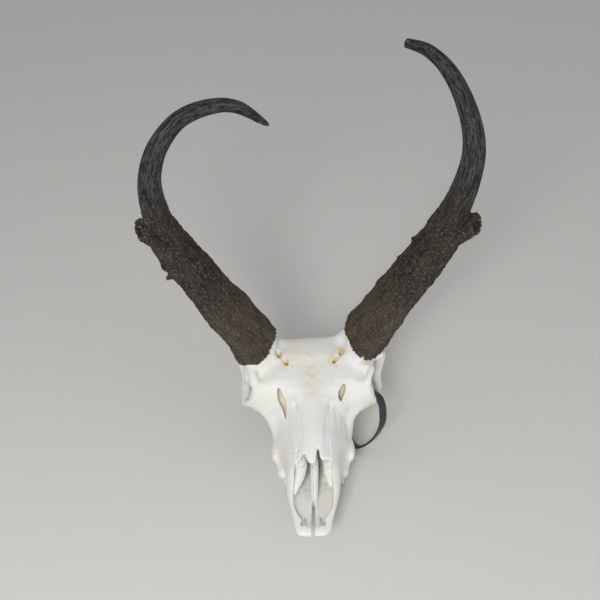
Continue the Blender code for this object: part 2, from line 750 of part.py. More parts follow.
def sheath_frames(name, side):
    """Centre, broad axis, thin axis and half sizes at each step along a sheath."""
    spots = [mirrored(spot, side) for spot in SHEATH_PATHS[name]]
    path, arc = smooth_path(spots, SHEATH_STEP)
    table = np.asarray(SHEATH_SECTIONS[name])
    arc_scale = table[-1, 0] / arc[-1]
    tangents = np.gradient(path, axis=0)
    _, base_front, base_inner = sheath_base_frame(side)
    frames = []
    twist = math.radians(SHEATH_TWIST)
    front = np.array((side * math.sin(twist), -math.cos(twist), 0.0))
    for centre, tangent, at in zip(path, tangents, arc * arc_scale):
        tangent = unit(tangent)
        front = unit(front - tangent * front.dot(tangent))
        inner = side * np.cross(front, tangent)
        blend = min(at / SHEATH_BASE_BLEND, 1.0)
        blend = blend * blend * (3 - 2 * blend)
        broad_axis = unit(base_front * (1 - blend) + front * blend)
        thin_axis = unit(base_inner * (1 - blend) + inner * blend)
        broad, thin = (float(np.interp(at, table[:, 0], table[:, k])) for k in (1, 2))
        frames.append((at, centre, broad_axis, thin_axis, broad, thin))
    return frames


def make_sheath(name, side, collection):
    """A horn sheath: a flattened shaft, a short broken prong forward and a tapering hook."""
    frames = sheath_frames(name, side)
    rings = [oval(*frame[1:4], *frame[4:], SHEATH_SIDES) for frame in frames]
    sheath = loft(f"horn_sheath_{name}", rings, collection)
    place, length, direction = PRONGS[name]
    root = min(frames, key=lambda frame: abs(frame[0] - place))
    direction = unit(mirrored(direction, side))
    along = unit(np.cross(direction, mirrored(PRONG_UPRIGHT, side)))
    upright = unit(np.cross(along, direction))
    prong = []
    for share, swell in PRONG_SWELL:
        tall, wide = (
            swell * (first + (last - first) * share) for first, last in zip(PRONG_ROOT, PRONG_END)
        )
        centre = root[1] + direction * length * share
        prong.append(oval(centre, upright, along, tall, wide, PRONG_SIDES))
    pieces = make_collection("prong")
    loft("prong", prong, pieces)
    return keep_largest(boolean(sheath, "UNION", pieces))


def band_frames():
    """Evenly spaced points along the band's closed middle line, each with its out and side axes."""
    table = np.array([(*spot, *unit(facing)) for spot, facing in BAND_LINE])
    count = len(table)
    fine = []
    for i in range(count):
        p0, p1, p2, p3 = (table[(i + k) % count] for k in (-1, 0, 1, 2))
        for t in np.linspace(0.0, 1.0, CURVE_STEPS, endpoint=False):
            bend = (2 * p0 - 5 * p1 + 4 * p2 - p3) * t * t + (3 * p1 - p0 - 3 * p2 + p3) * t**3
            fine.append(p1 + 0.5 * ((p2 - p0) * t + bend))
    fine = np.array([*fine, table[0]])
    arc = np.concatenate([[0.0], np.cumsum(np.linalg.norm(np.diff(fine[:, :3], axis=0), axis=1))])
    at = np.linspace(0.0, arc[-1], BAND_SIDES, endpoint=False)
    line = np.column_stack([np.interp(at, arc, fine[:, k]) for k in range(6)])
    frames = []
    for i, row in enumerate(line):
        tangent = unit(line[(i + 1) % BAND_SIDES, :3] - line[i - 1, :3])
        out = unit(row[3:] - tangent * tangent.dot(row[3:]))
        frames.append((row[:3], out, np.cross(tangent, out)))
    return frames


def make_band(collection):
    """The closed moulded band: a flat strip along a loop, with its edges eased."""
    half, edge = BAND_WIDTH / 2, BAND_EDGE
    inner, outer = -BAND_THICKNESS / 2, BAND_THICKNESS / 2
    profile = (
        (outer, half - edge),
        (outer, edge - half),
        (outer - edge, -half),
        (inner + edge, -half),
        (inner, edge - half),
        (inner, half - edge),
        (inner + edge, half),
        (outer - edge, half),
    )
    rings = []
    for middle, out, axis in band_frames():
        rings.append([tuple(middle + out * r + axis * h) for r, h in profile])
    bm = bmesh.new()
    loops = [[bm.verts.new(point) for point in ring] for ring in rings]
    for i, first in enumerate(loops):
        second = loops[(i + 1) % BAND_SIDES]
        for k, corner in enumerate(first):
            n = (k + 1) % len(first)
            bm.faces.new((corner, first[n], second[n], second[k]))
    return add_object("tag_band", mesh_from("tag_band", bm), collection)


def finish_pieces(pieces):
    """Scales every piece to metres and sets the origin at the bottom centre of the whole."""
    corners = np.array([vert.co for piece in pieces for vert in piece.data.vertices])
    low, high = corners.min(axis=0), corners.max(axis=0)
    shift = Matrix.Translation((-(low[0] + high[0]) / 2, -(low[1] + high[1]) / 2, -low[2]))
    for piece in pieces:
        piece.data.transform(Matrix.Diagonal((MM, MM, MM, 1.0)) @ shift)
        kind = "horn" if "horn" in piece.name else "band" if "band" in piece.name else "bone"
        colour, roughness = COLOURS[kind]
        piece.data.materials.clear()
        piece.data.materials.append(make_material(f"{piece.name}_{kind}", colour, roughness))
        piece.data.shade_smooth()
        piece.data.set_sharp_from_angle(angle=math.radians(SHARP_ANGLE))


def main():
    """Builds the skull, its sheaths and the band."""
    clear_scene()
    collection = make_collection(OBJECT_NAME)
    pieces = make_skull(collection)
    for name, side in SIDES:
        pieces.append(make_sheath(name, side, collection))
    pieces.append(make_band(collection))
    finish_pieces(pieces)


main()
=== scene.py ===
"""Pronghorn skull with its two dark horn sheaths and a plain band through its left eye socket.

Every shape is laid out in millimetres on the skull's own axes: X runs to the animal's left from the
middle plane, Y runs back from the tip of the snout, and Z runs up from the floor that the teeth
stand on. Left and right are the animal's own. Placement turns these into the frame's metres.
"""

import logging
import math
from dataclasses import dataclass, field
from enum import Enum
from itertools import product
from typing import Callable

import bmesh
import bpy
import numpy as np
from mathutils import Matrix, Vector


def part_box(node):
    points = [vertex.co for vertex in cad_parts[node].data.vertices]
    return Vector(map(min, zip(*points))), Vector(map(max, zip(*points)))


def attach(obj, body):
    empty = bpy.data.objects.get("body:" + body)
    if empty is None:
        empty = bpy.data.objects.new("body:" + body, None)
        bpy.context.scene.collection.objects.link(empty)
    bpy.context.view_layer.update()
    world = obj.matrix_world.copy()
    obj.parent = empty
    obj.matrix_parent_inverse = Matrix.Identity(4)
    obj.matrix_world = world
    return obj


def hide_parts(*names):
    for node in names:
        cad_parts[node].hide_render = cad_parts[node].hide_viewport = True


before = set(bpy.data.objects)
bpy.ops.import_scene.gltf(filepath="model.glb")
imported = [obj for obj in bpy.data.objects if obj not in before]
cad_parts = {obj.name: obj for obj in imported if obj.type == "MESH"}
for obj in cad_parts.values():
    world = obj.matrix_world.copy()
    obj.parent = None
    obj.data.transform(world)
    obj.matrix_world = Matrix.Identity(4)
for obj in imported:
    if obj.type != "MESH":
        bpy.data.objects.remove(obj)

log = logging.getLogger("pronghorn_skull")

MM = 0.001
ROOT = "root"

Point = tuple[float, float, float]
Pair = tuple[float, float]
Rows = tuple[tuple[float, ...], ...]
Array = np.ndarray
Frames = dict[str, np.ndarray]
Material = bpy.types.Material


class Side(Enum):
    """A side of the animal, as the sign of X there."""

    RIGHT = -1
    LEFT = 1

    @property
    def word(self) -> str:
        """The side's name in lower case."""
        return self.name.lower()


def mirrored(point: Point, side: Side) -> Point:
    """A point given for the left side, on the asked side."""
    return (side.value * point[0], point[1], point[2])


def unit(vector: Point | Array) -> Array:
    """The vector at length one."""
    vector = np.asarray(vector, float)
    return vector / np.linalg.norm(vector)


def smooth_column(spots: Array, at: Array, values: Array) -> Array:
    """A curve through values that doesn't overshoot between them.

    Args:
        spots: where the curve is read, inside the range of at.
        at: rising positions of the given values.
        values: the values that the curve runs through.

    Returns:
        The curve's value at each spot.
    """
    slope = np.diff(values) / np.diff(at)
    tangent = np.zeros(len(values))
    same = slope[:-1] * slope[1:] > 0
    tangent[1:-1][same] = 2 * (slope[:-1] * slope[1:])[same] / (slope[:-1] + slope[1:])[same]
    tangent[0], tangent[-1] = slope[0], slope[-1]
    k = np.clip(np.searchsorted(at, spots) - 1, 0, len(at) - 2)
    width = at[k + 1] - at[k]
    t = (spots - at[k]) / width
    value = values[k] * (1 + 2 * t) * (1 - t) ** 2 + values[k + 1] * t * t * (3 - 2 * t)
    return value + width * (tangent[k] * t * (1 - t) ** 2 - tangent[k + 1] * t * t * (1 - t))


def smooth_path(points: list[Point] | tuple[Point, ...], step: float) -> tuple[Array, Array]:
    """Evenly spaced points along a smooth curve through the given ones.

    Args:
        points: what the curve runs through.
        step: the spacing asked for.

    Returns:
        The points, and the arc length at each.
    """
    points = np.asarray(points, float)
    padded = np.vstack([2 * points[0] - points[1], points, 2 * points[-1] - points[-2]])
    fine = []
    for p0, p1, p2, p3 in zip(padded, padded[1:], padded[2:], padded[3:]):
        for t in np.linspace(0.0, 1.0, 24, endpoint=False):
            bend = (2 * p0 - 5 * p1 + 4 * p2 - p3) * t * t + (3 * p1 - p0 - 3 * p2 + p3) * t**3
            fine.append(p1 + 0.5 * ((p2 - p0) * t + bend))
    fine = np.array([*fine, points[-1]])
    arc = np.concatenate([[0.0], np.cumsum(np.linalg.norm(np.diff(fine[:, :3], axis=0), axis=1))])
    at = np.linspace(0.0, arc[-1], max(2, round(arc[-1] / step) + 1))
    path = np.column_stack([np.interp(at, arc, column) for column in fine.T])
    return path, at


def ease(value: Array | float, low: float, high: float) -> Array:
    """Nought below low, one above high, and a smooth rise between."""
    t = np.clip((np.asarray(value, float) - low) / (high - low), 0.0, 1.0)
    return t * t * (3 - 2 * t)


def linked(name: str, data: bpy.types.ID) -> bpy.types.Object:
    """A new object of some data, linked to the scene."""
    obj = bpy.data.objects.new(name, data)
    bpy.context.scene.collection.objects.link(obj)
    return obj


class Noise:
    """Seeded smooth noise in space, from about -1 to 1."""

    def __init__(self, seed: int) -> None:
        """Args:
        seed: which noise it is.
        """
        draw = np.random.default_rng(seed)
        self.order = draw.permutation(256).astype(np.int32)
        slopes = draw.normal(size=(256, 3))
        self.slopes = (slopes / np.linalg.norm(slopes, axis=1)[:, None]).astype(np.float32)

    def __call__(self, points: Array, size: float | Point) -> Array:
        """Reads the noise.

        Args:
            points: where, one row each.
            size: the length of one wave, or one for each axis.

        Returns:
            One value for each point.
        """
        spots = np.asarray(points, float) / np.asarray(size, float)
        cell = np.floor(spots)
        inner = (spots - cell).astype(np.float32)
        cell = cell.astype(np.int32)
        fade = inner**3 * (inner * (inner * 6 - 15) + 10)
        total = np.zeros(len(spots), np.float32)
        for corner in product((0, 1), repeat=3):
            index = np.zeros(len(spots), np.int32)
            for axis in range(3):
                index = self.order[(index + cell[:, axis] + corner[axis]) & 255]
            weight = np.ones(len(spots), np.float32)
            for axis in range(3):
                weight *= fade[:, axis] if corner[axis] else 1 - fade[:, axis]
            total += weight * np.einsum("ij,ij->i", self.slopes[index], inner - np.float32(corner))
        return 1.6 * total

    def layered(self, points: Array, size: float | Point, layers: int) -> Array:
        """The noise with finer and weaker layers added.

        Args:
            points: where, one row each.
            size: the longest wave, or one for each axis.
            layers: how many, each half as long and half as strong.

        Returns:
            One value for each point.
        """
        size = np.asarray(size, float)
        return sum(self(points + 17.0 * i, size / 2**i) / 2**i for i in range(layers))

    def ridged(self, points: Array, size: float | Point, layers: int = 1) -> Array:
        """Noise with sharp crests, from nought to one."""
        return 1.0 - np.clip(np.abs(self.layered(points, size, layers)) * 1.6, 0.0, 1.0)


@dataclass(frozen=True)
class Centred:
    """A shape that reaches equally far to both sides of its centre along each axis."""

    centre: Point
    reach: Point

    def bounds(self) -> tuple[Array, Array]:
        """The lowest and highest corner."""
        centre, reach = np.array(self.centre), np.array(self.reach)
        return centre - reach, centre + reach


class Ball(Centred):
    """An ellipsoid along the axes."""

    def distance(self, x: Array, y: Array, z: Array) -> Array:
        """About how far each place is outside the surface."""
        spots = [(a - c) / r for a, c, r in zip((x, y, z), self.centre, self.reach)]
        near = np.sqrt(sum(s * s for s in spots))
        steep = np.sqrt(sum((s / r) ** 2 for s, r in zip(spots, self.reach)))
        return near * (near - 1.0) / np.maximum(steep, 1e-4)


@dataclass
class Bar:
    """A round bar along a smooth path, with its radius changing from point to point."""

    spots: tuple[Point, ...]
    radii: tuple[float, ...]
    closed: bool = False
    step: float = 4.0
    path: Array = field(init=False)
    sizes: Array = field(init=False)

    def __post_init__(self) -> None:
        """Works out the path and the radius along it."""
        if self.closed or len(self.spots) == 2:
            self.path, self.sizes = np.array(self.spots, float), np.array(self.radii, float)
            if self.closed:
                self.path = np.vstack([self.path, self.path[:1]])
                self.sizes = np.append(self.sizes, self.sizes[0])
            return
        self.path, arc = smooth_path(self.spots, self.step)
        shares = np.linspace(0.0, arc[-1], len(self.radii))
        self.sizes = np.interp(arc, shares, self.radii)

    def bounds(self) -> tuple[Array, Array]:
        """The lowest and highest corner."""
        reach = self.sizes.max()
        return self.path.min(axis=0) - reach, self.path.max(axis=0) + reach

    def distance(self, x: Array, y: Array, z: Array) -> Array:
        """How far each place is outside the surface."""
        nearest = None
        for start, end, first, last in zip(self.path, self.path[1:], self.sizes, self.sizes[1:]):
            run = end - start
            offset = [a - b for a, b in zip((x, y, z), start)]
            ahead = offset[0] * run[0] + offset[1] * run[1] + offset[2] * run[2]
            share = np.clip(ahead / max(run @ run, 1e-9), 0.0, 1.0)
            away = [(p - share * r) ** 2 for p, r in zip(offset, run)]
            gap = np.sqrt(away[0] + away[1] + away[2]) - (first + (last - first) * share)
            nearest = gap if nearest is None else np.minimum(nearest, gap)
        return nearest


class Slab(Centred):
    """A box along the axes."""

    def distance(self, x: Array, y: Array, z: Array) -> Array:
        """How far each place is outside the surface."""
        gaps = [np.abs(a - c) - h for a, c, h in zip((x, y, z), self.centre, self.reach)]
        return np.maximum(np.maximum(gaps[0], gaps[1]), gaps[2])


def oblique(along_first: Array, along_second: Array, between: Array | float) -> tuple[Array, Array]:
    """How far along each of two unit vectors a point lies, from its dot products with them.

    Args:
        along_first: the dot products with the first vector.
        along_second: the dot products with the second one.
        between: the dot product of the two vectors, which needn't be at right angles.

    Returns:
        The two lengths that add up to the point.
    """
    rest = 1.0 - between * between
    first = (along_first - between * along_second) / rest
    return first, (along_second - between * along_first) / rest


@dataclass
class Stalk:
    """An oval column between two points, with a core that leads on into the horn above it."""

    root: Array
    top: Array
    front: Array
    inner: Array
    lead: Array
    halves: Pair
    seat: float
    taper: float = 0.12

    def bounds(self) -> tuple[Array, Array]:
        """The lowest and highest corner."""
        reach = max(self.halves) + 2.0
        both = np.array([self.root, self.top])
        return both.min(axis=0) - reach, both.max(axis=0) + reach

    def distance(self, x: Array, y: Array, z: Array) -> Array:
        """About how far each place is outside the surface."""
        run = self.top - self.root
        px, py, pz = x - self.root[0], y - self.root[1], z - self.root[2]
        normal = unit(np.cross(self.front, self.inner))
        normal *= math.copysign(1.0, normal[2])
        up = px * normal[0] + py * normal[1] + pz * normal[2]
        above = np.clip(up - run @ normal, 0.0, self.seat + 6.0)
        share, beyond = (up - above) / (run @ normal), above / (self.lead @ normal)
        px, py, pz = (
            p - share * run[k] - beyond * self.lead[k] for k, p in enumerate((px, py, pz))
        )
        slim = 1.0 - self.taper * above / self.seat
        broad, thin = (half * slim for half in self.halves)
        forward = px * self.front[0] + py * self.front[1] + pz * self.front[2]
        inward = px * self.inner[0] + py * self.inner[1] + pz * self.inner[2]
        u, v = oblique(forward, inward, float(self.front @ self.inner))
        side = (np.hypot(u / broad, v / thin) - 1.0) * thin
        return np.maximum(np.maximum(side, up - (run @ normal) - self.seat), -up - 6.0)


def columns(rows: Rows, at: Array) -> list[Array]:
    """Each further column of a table, read smoothly along its first one.

    Args:
        rows: the table, with rising numbers in its first column.
        at: where it is read.

    Returns:
        The columns' values, in the shape of at.
    """
    table = np.array(rows)
    spots = np.clip(at.ravel(), table[0, 0], table[-1, 0])
    return [
        smooth_column(spots, table[:, 0], column).astype(np.float32).reshape(at.shape)
        for column in table[:, 1:].T
    ]


@dataclass
class Sections:
    """A body skinned over cross sections from snout to nape.

    Each row holds the distance back, half width, level of the widest point, top, bottom, squareness
    above and squareness below, where 2 is an ellipse, less is pinched and more is boxy.
    """

    rows: Rows
    end_blend: float = 3.0

    def bounds(self) -> tuple[Array, Array]:
        """The lowest and highest corner."""
        table = np.array(self.rows)
        wide = table[:, 1].max()
        return (
            np.array((-wide, table[0, 0], table[:, 4].min())),
            np.array((wide, table[-1, 0], table[:, 3].max())),
        )

    def distance(self, x: Array, y: Array, z: Array) -> Array:
        """About how far each place is outside the surface."""
        half, wide, top, bottom, above, below = columns(self.rows, y)
        upper = z > wide
        rise = np.where(upper, top - wide, wide - bottom)
        power = np.where(upper, above, below)
        level = (np.abs(x) / half) ** power + (np.abs(z - wide) / rise) ** power
        level = as_distance(np.maximum(level, 1e-6) ** (1.0 / power) - 1.0, x, y, z)
        front, rear = np.array(self.rows)[[0, -1], 0]
        ends = np.maximum(front - y, y - rear)
        return smooth_max(level, ends + np.zeros_like(level), self.end_blend)


@dataclass(frozen=True)
class Aperture:
    """The bony opening of the nose, with the ragged front edge of the nasal bones behind it.

    Each row holds the distance back, the half width and the level of the floor. The edge gives how
    far back the nasal bones begin at each distance across.
    """

    rows: Rows = (
        (-6, 3, 33), (3, 6, 31.6), (8, 8.6, 30.4), (14, 11.6, 29.4), (20, 15, 28.8),
        (26, 17.6, 28.4), (32, 18.9, 28.4), (40, 18.8, 28.6), (48, 18, 28.8), (66, 17, 30),
    )
    edge: Rows = (
        (-18, 60), (-14.8, 60.2), (-12, 62), (-8.9, 66.5), (-7.2, 62.5), (-4.9, 58.2), (-3, 57),
        (1.4, 57), (2.9, 59.5), (3.8, 69.5), (4.8, 69), (5.7, 62.5), (8.2, 60.2), (11.5, 61.2),
        (18, 62.5),
    )
    top: float = 84.0
    slope: float = 0.75
    corner: float = 6.0

    def bounds(self) -> tuple[Array, Array]:
        """The lowest and highest corner."""
        table = np.array(self.rows)
        wide = table[:, 1].max()
        rear = max(y for _, y in self.edge)
        return np.array((-wide, table[0, 0], table[:, 2].min())), np.array((wide, rear, self.top))

    def distance(self, x: Array, y: Array, z: Array) -> Array:
        """About how far each place is outside the surface."""
        half, floor = columns(self.rows, y)
        rear = np.interp(x.ravel(), *np.array(self.edge).T).astype(np.float32).reshape(x.shape)
        rounding = self.slope * np.maximum(floor + self.corner - z, 0.0) * 0.5
        sides = np.maximum(np.abs(x) - half + rounding, floor - z)
        return np.maximum(sides, (y - rear) * self.slope)


@dataclass(frozen=True)
class Wedge:
    """The part of a box beyond a plane."""

    spot: Point
    facing: Point
    box: Slab

    def bounds(self) -> tuple[Array, Array]:
        """The lowest and highest corner."""
        return self.box.bounds()

    def distance(self, x: Array, y: Array, z: Array) -> Array:
        """How far each place is outside the surface."""
        facing = zip((x, y, z), self.spot, unit(self.facing))
        short = sum((spot - a) * along for a, spot, along in facing)
        return np.maximum(short, self.box.distance(x, y, z))


Shape = Ball | Bar | Slab | Stalk | Sections | Aperture | Wedge
Part = tuple[Shape, float]
Parts = tuple[Part, ...]

FAR = 25.0


def as_distance(level: Array, x: Array, y: Array, z: Array) -> Array:
    """Turns a level that is nought on a surface into about a distance from it."""
    steps = [float(a.ravel()[1] - a.ravel()[0]) for a in (x, y, z)]
    slopes = np.gradient(level, *steps)
    steep = np.sqrt(slopes[0] ** 2 + slopes[1] ** 2 + slopes[2] ** 2)
    return np.clip(level / np.maximum(steep, 1e-3), -FAR, FAR)


def smooth_min(first: Array, second: Array, blend: float) -> Array:
    """The lower of two fields, with the crease between them rounded over a blend length."""
    if blend <= 0:
        return np.minimum(first, second)
    share = np.clip(0.5 + 0.5 * (second - first) / blend, 0.0, 1.0)
    return second + (first - second) * share - blend * share * (1.0 - share)


def smooth_max(first: Array, second: Array, blend: float) -> Array:
    """The higher of two fields, with the crease between them rounded over a blend length."""
    return -smooth_min(-first, -second, blend)


@dataclass
class Clay:
    """A block of clay: at each point of a lattice, how far it lies outside the surface."""

    low: Array
    step: float
    values: Array

    @classmethod
    def empty(cls, low: Point, high: Point, step: float) -> "Clay":
        """A lattice with nothing in it.

        Args:
            low: its lowest corner.
            high: its highest corner.
            step: the spacing of its points.

        Returns:
            The new block.
        """
        counts = [int(round((b - a) / step)) + 1 for a, b in zip(low, high)]
        return cls(np.array(low, float), step, np.full(counts, FAR, np.float32))

    def axis(self, number: int, start: int = 0, stop: int | None = None) -> Array:
        """The positions along one axis, shaped to spread over the others."""
        count = self.values.shape[number]
        line = self.low[number] + self.step * np.arange(start, count if stop is None else stop)
        return line.astype(np.float32).reshape([-1 if k == number else 1 for k in range(3)])

    def window(self, low: Array, high: Array) -> tuple[tuple[slice, ...], list[Array]]:
        """The part of the lattice inside a box, as slices and as positions."""
        shape = self.values.shape
        first = np.clip(np.floor((low - self.low) / self.step).astype(int), 0, np.array(shape) - 2)
        last = np.clip(np.ceil((high - self.low) / self.step).astype(int) + 1, first + 2, shape)
        cut = tuple(slice(a, b) for a, b in zip(first, last))
        return cut, [self.axis(k, first[k], last[k]) for k in range(3)]

    def work(self, parts: Parts, sign: int) -> None:
        """Joins shapes on, with sign 1, or takes them away, with sign -1."""
        for shape, blend in parts:
            low, high = shape.bounds()
            low, high = low - blend - 2 * self.step, high + blend + 2 * self.step
            cut, places = self.window(low, high)
            field = smooth_min(sign * self.values[cut], shape.distance(*places), blend)
            self.values[cut] = sign * field

    def add(self, *parts: Part) -> None:
        """Joins shapes on, each with its crease rounded over a blend length."""
        self.work(parts, 1)

    def carve(self, *parts: Part) -> None:
        """Takes shapes away, each with its edge rounded over a blend length."""
        self.work(parts, -1)

    def both_sides(self) -> "Clay":
        """The block with its mirror image, for one that starts at the middle plane."""
        values = np.concatenate([self.values[:0:-1], self.values])
        low = self.low.copy()
        low[0] = -self.step * (self.values.shape[0] - 1)
        return Clay(low, self.step, values)

    def blurred(self, reach: float) -> Array:
        """The field averaged over a cube, which is high on ridges and low in hollows."""
        width = max(1, round(reach / self.step))
        values = np.clip(self.values, -reach, reach)
        for number in range(3):
            size = values.shape[number]
            total = np.cumsum(values, axis=number, dtype=np.float32)
            upper = np.clip(np.arange(size) + width, 0, size - 1)
            lower = np.clip(np.arange(size) - width - 1, 0, size - 1)
            spread = (upper - lower).reshape([-1 if k == number else 1 for k in range(3)])
            values = (total.take(upper, number) - total.take(lower, number)) / spread
        return values

    def read(self, values: Array, points: Array) -> Array:
        """Values on the lattice, read between its points."""
        spots = (points - self.low) / self.step
        base = np.clip(np.floor(spots).astype(int), 0, np.array(values.shape) - 2)
        inner = np.clip(spots - base, 0.0, 1.0)
        total = np.zeros(len(points))
        for corner in product((0, 1), repeat=3):
            weight = np.prod(np.where(corner, inner, 1.0 - inner), axis=1)
            at = base + corner
            total += weight * values[at[:, 0], at[:, 1], at[:, 2]]
        return total


@dataclass
class Surface:
    """A mesh of four-sided faces, in millimetres, with named values on its points."""

    points: Array
    faces: Array
    marks: Frames = field(default_factory=dict)

    @classmethod
    def from_clay(cls, clay: Clay) -> "Surface":
        """The surface of a block of clay, with one point in each cell that it crosses."""
        values = clay.values
        solid = values < 0
        lengths = [length - 1 for length in solid.shape]
        count = sum(
            solid[tuple(slice(s, s + n) for s, n in zip(start, lengths))].astype(np.uint8)
            for start in product((0, 1), repeat=3)
        )
        crossed = (count > 0) & (count < 8)
        cells = np.argwhere(crossed)
        number = np.full(crossed.shape, -1, np.int32)
        number[crossed] = np.arange(len(cells))
        total, hits = np.zeros((len(cells), 3)), np.zeros(len(cells))
        for along in range(3):
            step = np.eye(3, dtype=int)[along]
            others = [k for k in range(3) if k != along]
            for first, second in product((0, 1), repeat=2):
                start = cells.copy()
                start[:, others[0]] += first
                start[:, others[1]] += second
                a, b = values[tuple(start.T)], values[tuple((start + step).T)]
                met = (a < 0) != (b < 0)
                share = np.where(met, a / np.where(met, a - b, 1.0), 0.0)
                total += met[:, None] * (start + share[:, None] * step)
                hits += met
        points = clay.low + clay.step * total / hits[:, None]
        return cls(points, cls.net_faces(solid, number))

    @staticmethod
    def net_faces(solid: Array, number: Array) -> Array:
        """One face across each lattice edge that leaves the solid, turned to face out."""
        found = []
        for along in range(3):
            step, right, up = (np.eye(3, dtype=int)[(along + k) % 3] for k in range(3))
            ahead = np.swapaxes(np.swapaxes(solid, 0, along)[1:], 0, along)
            here = np.swapaxes(np.swapaxes(solid, 0, along)[:-1], 0, along)
            spots = np.argwhere(ahead != here)
            inner = (spots > 0) | (step > 0)
            limit = (spots < np.array(number.shape)).all(axis=1)
            spots = spots[inner.all(axis=1) & limit]
            corners = (spots - right - up, spots - up, spots, spots - right)
            faces = np.column_stack([number[tuple(corner.T)] for corner in corners])
            leaving = here[tuple(spots.T)]
            faces[~leaving] = faces[~leaving][:, ::-1]
            found.append(faces)
        faces = np.vstack(found)
        return faces[(faces >= 0).all(axis=1)]

    def edges(self) -> Array:
        """The two ends of each side of each face."""
        return np.vstack([self.faces[:, (i, (i + 1) % 4)] for i in range(4)])

    def normals(self) -> Array:
        """The direction out of the surface at each point."""
        a, b, c, d = (self.points[self.faces[:, i]] for i in range(4))
        facing = np.cross(c - a, d - b)
        where = self.faces.ravel()
        total = np.column_stack(
            [
                np.bincount(where, np.repeat(facing[:, k], 4), minlength=len(self.points))
                for k in range(3)
            ]
        )
        return total / np.maximum(np.linalg.norm(total, axis=1), 1e-9)[:, None]

    def soften(self, rounds: int, share: Array | float = 0.5) -> None:
        """Draws each point towards the middle of its neighbours.

        Args:
            rounds: how many times.
            share: how far each time, as one number or one for each point.
        """
        edges = self.edges()
        ends = np.concatenate([edges[:, 0], edges[:, 1]])
        others = np.concatenate([edges[:, 1], edges[:, 0]])
        count = np.bincount(ends, minlength=len(self.points))
        share = np.asarray(share, float).reshape(-1, 1)
        for _ in range(rounds):
            middle = np.column_stack(
                [
                    np.bincount(ends, self.points[others, k], minlength=len(self.points))
                    for k in range(3)
                ]
            )
            middle /= np.maximum(count, 1)[:, None]
            self.points = self.points + share * (middle - self.points)

    def keep_largest(self) -> None:
        """Drops every part but the one with most points."""
        label = np.arange(len(self.points))
        edges = self.edges()
        while True:
            best = label.copy()
            for a, b in (edges.T, edges.T[::-1]):
                np.minimum.at(best, a, label[b])
            best = best[best]
            best = best[best]
            if (best == label).all():
                break
            label = best
        names, counts = np.unique(label, return_counts=True)
        keep = label == names[counts.argmax()]
        place = np.cumsum(keep) - 1
        self.faces = place[self.faces[keep[self.faces[:, 0]]]]
        self.points = self.points[keep]
        self.marks = {name: value[keep] for name, value in self.marks.items()}


@dataclass(frozen=True)
class Placement:
    """Where the skull's own axes lie in the frame."""

    middle: float
    tip: float

    @classmethod
    def from_frame(cls) -> "Placement":
        """Reads the middle plane and the tip of the snout from the two premaxillae."""
        left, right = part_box("premaxilla_left"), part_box("premaxilla_right")
        return cls((left[0][0] + right[1][0]) / 2, min(left[0][1], right[0][1]))

    def metres(self, points: Array) -> Array:
        """Points of the skull's axes, in the frame's metres."""
        return np.asarray(points, float) * MM + np.array((self.middle, self.tip, 0.0))

    def make(
        self, name: str, surface: Surface, material: Material, sharp: float | None = None
    ) -> bpy.types.Object:
        """Makes an object of a surface.

        Args:
            name: the piece's name.
            surface: its mesh and the values on its points.
            material: its finish.
            sharp: the angle in degrees from which an edge shows as a crease, if any does.

        Returns:
            The new object, linked to the scene.
        """
        mesh = bpy.data.meshes.new(name)
        points = self.metres(surface.points)
        mesh.vertices.add(len(points))
        mesh.vertices.foreach_set("co", points.ravel())
        faces = surface.faces.astype(np.int32)
        mesh.loops.add(faces.size)
        mesh.loops.foreach_set("vertex_index", faces.ravel())
        mesh.polygons.add(len(faces))
        mesh.polygons.foreach_set("loop_start", np.arange(len(faces), dtype=np.int32) * 4)
        mesh.update(calc_edges=True)
        mesh.shade_smooth()
        if sharp is not None:
            mesh.set_sharp_from_angle(angle=math.radians(sharp))
        for mark, values in surface.marks.items():
            kind, key = ("FLOAT_VECTOR", "vector") if values.ndim == 2 else ("FLOAT", "value")
            layer = mesh.attributes.new(mark, kind, "POINT")
            layer.data.foreach_set(key, values.astype(np.float32).ravel())
        mesh.materials.append(material)
        log.info("%s: %d faces", name, len(faces))
        return linked(name, mesh)


@dataclass(frozen=True)
class SheathBase:
    """The oval seat of a sheath on its stalk, given for the left side."""

    centre: Point = (52.8, 164.5, 111)
    front: Point = (0.42, -0.84, -0.34)
    inner: Point = (-0.9, -0.25, 0.35)
    halves: Pair = (26, 18)
    gap: float = 0.3

    def axes(self, side: Side) -> tuple[Array, Array, Array, Array]:
        """The centre and the vectors to the front edge, to the inner edge and up the shaft."""
        front, inner = unit(mirrored(self.front, side)), unit(mirrored(self.inner, side))
        normal = unit(np.cross(front, inner))
        return np.array(mirrored(self.centre, side)), front, inner, normal * np.sign(normal[2])


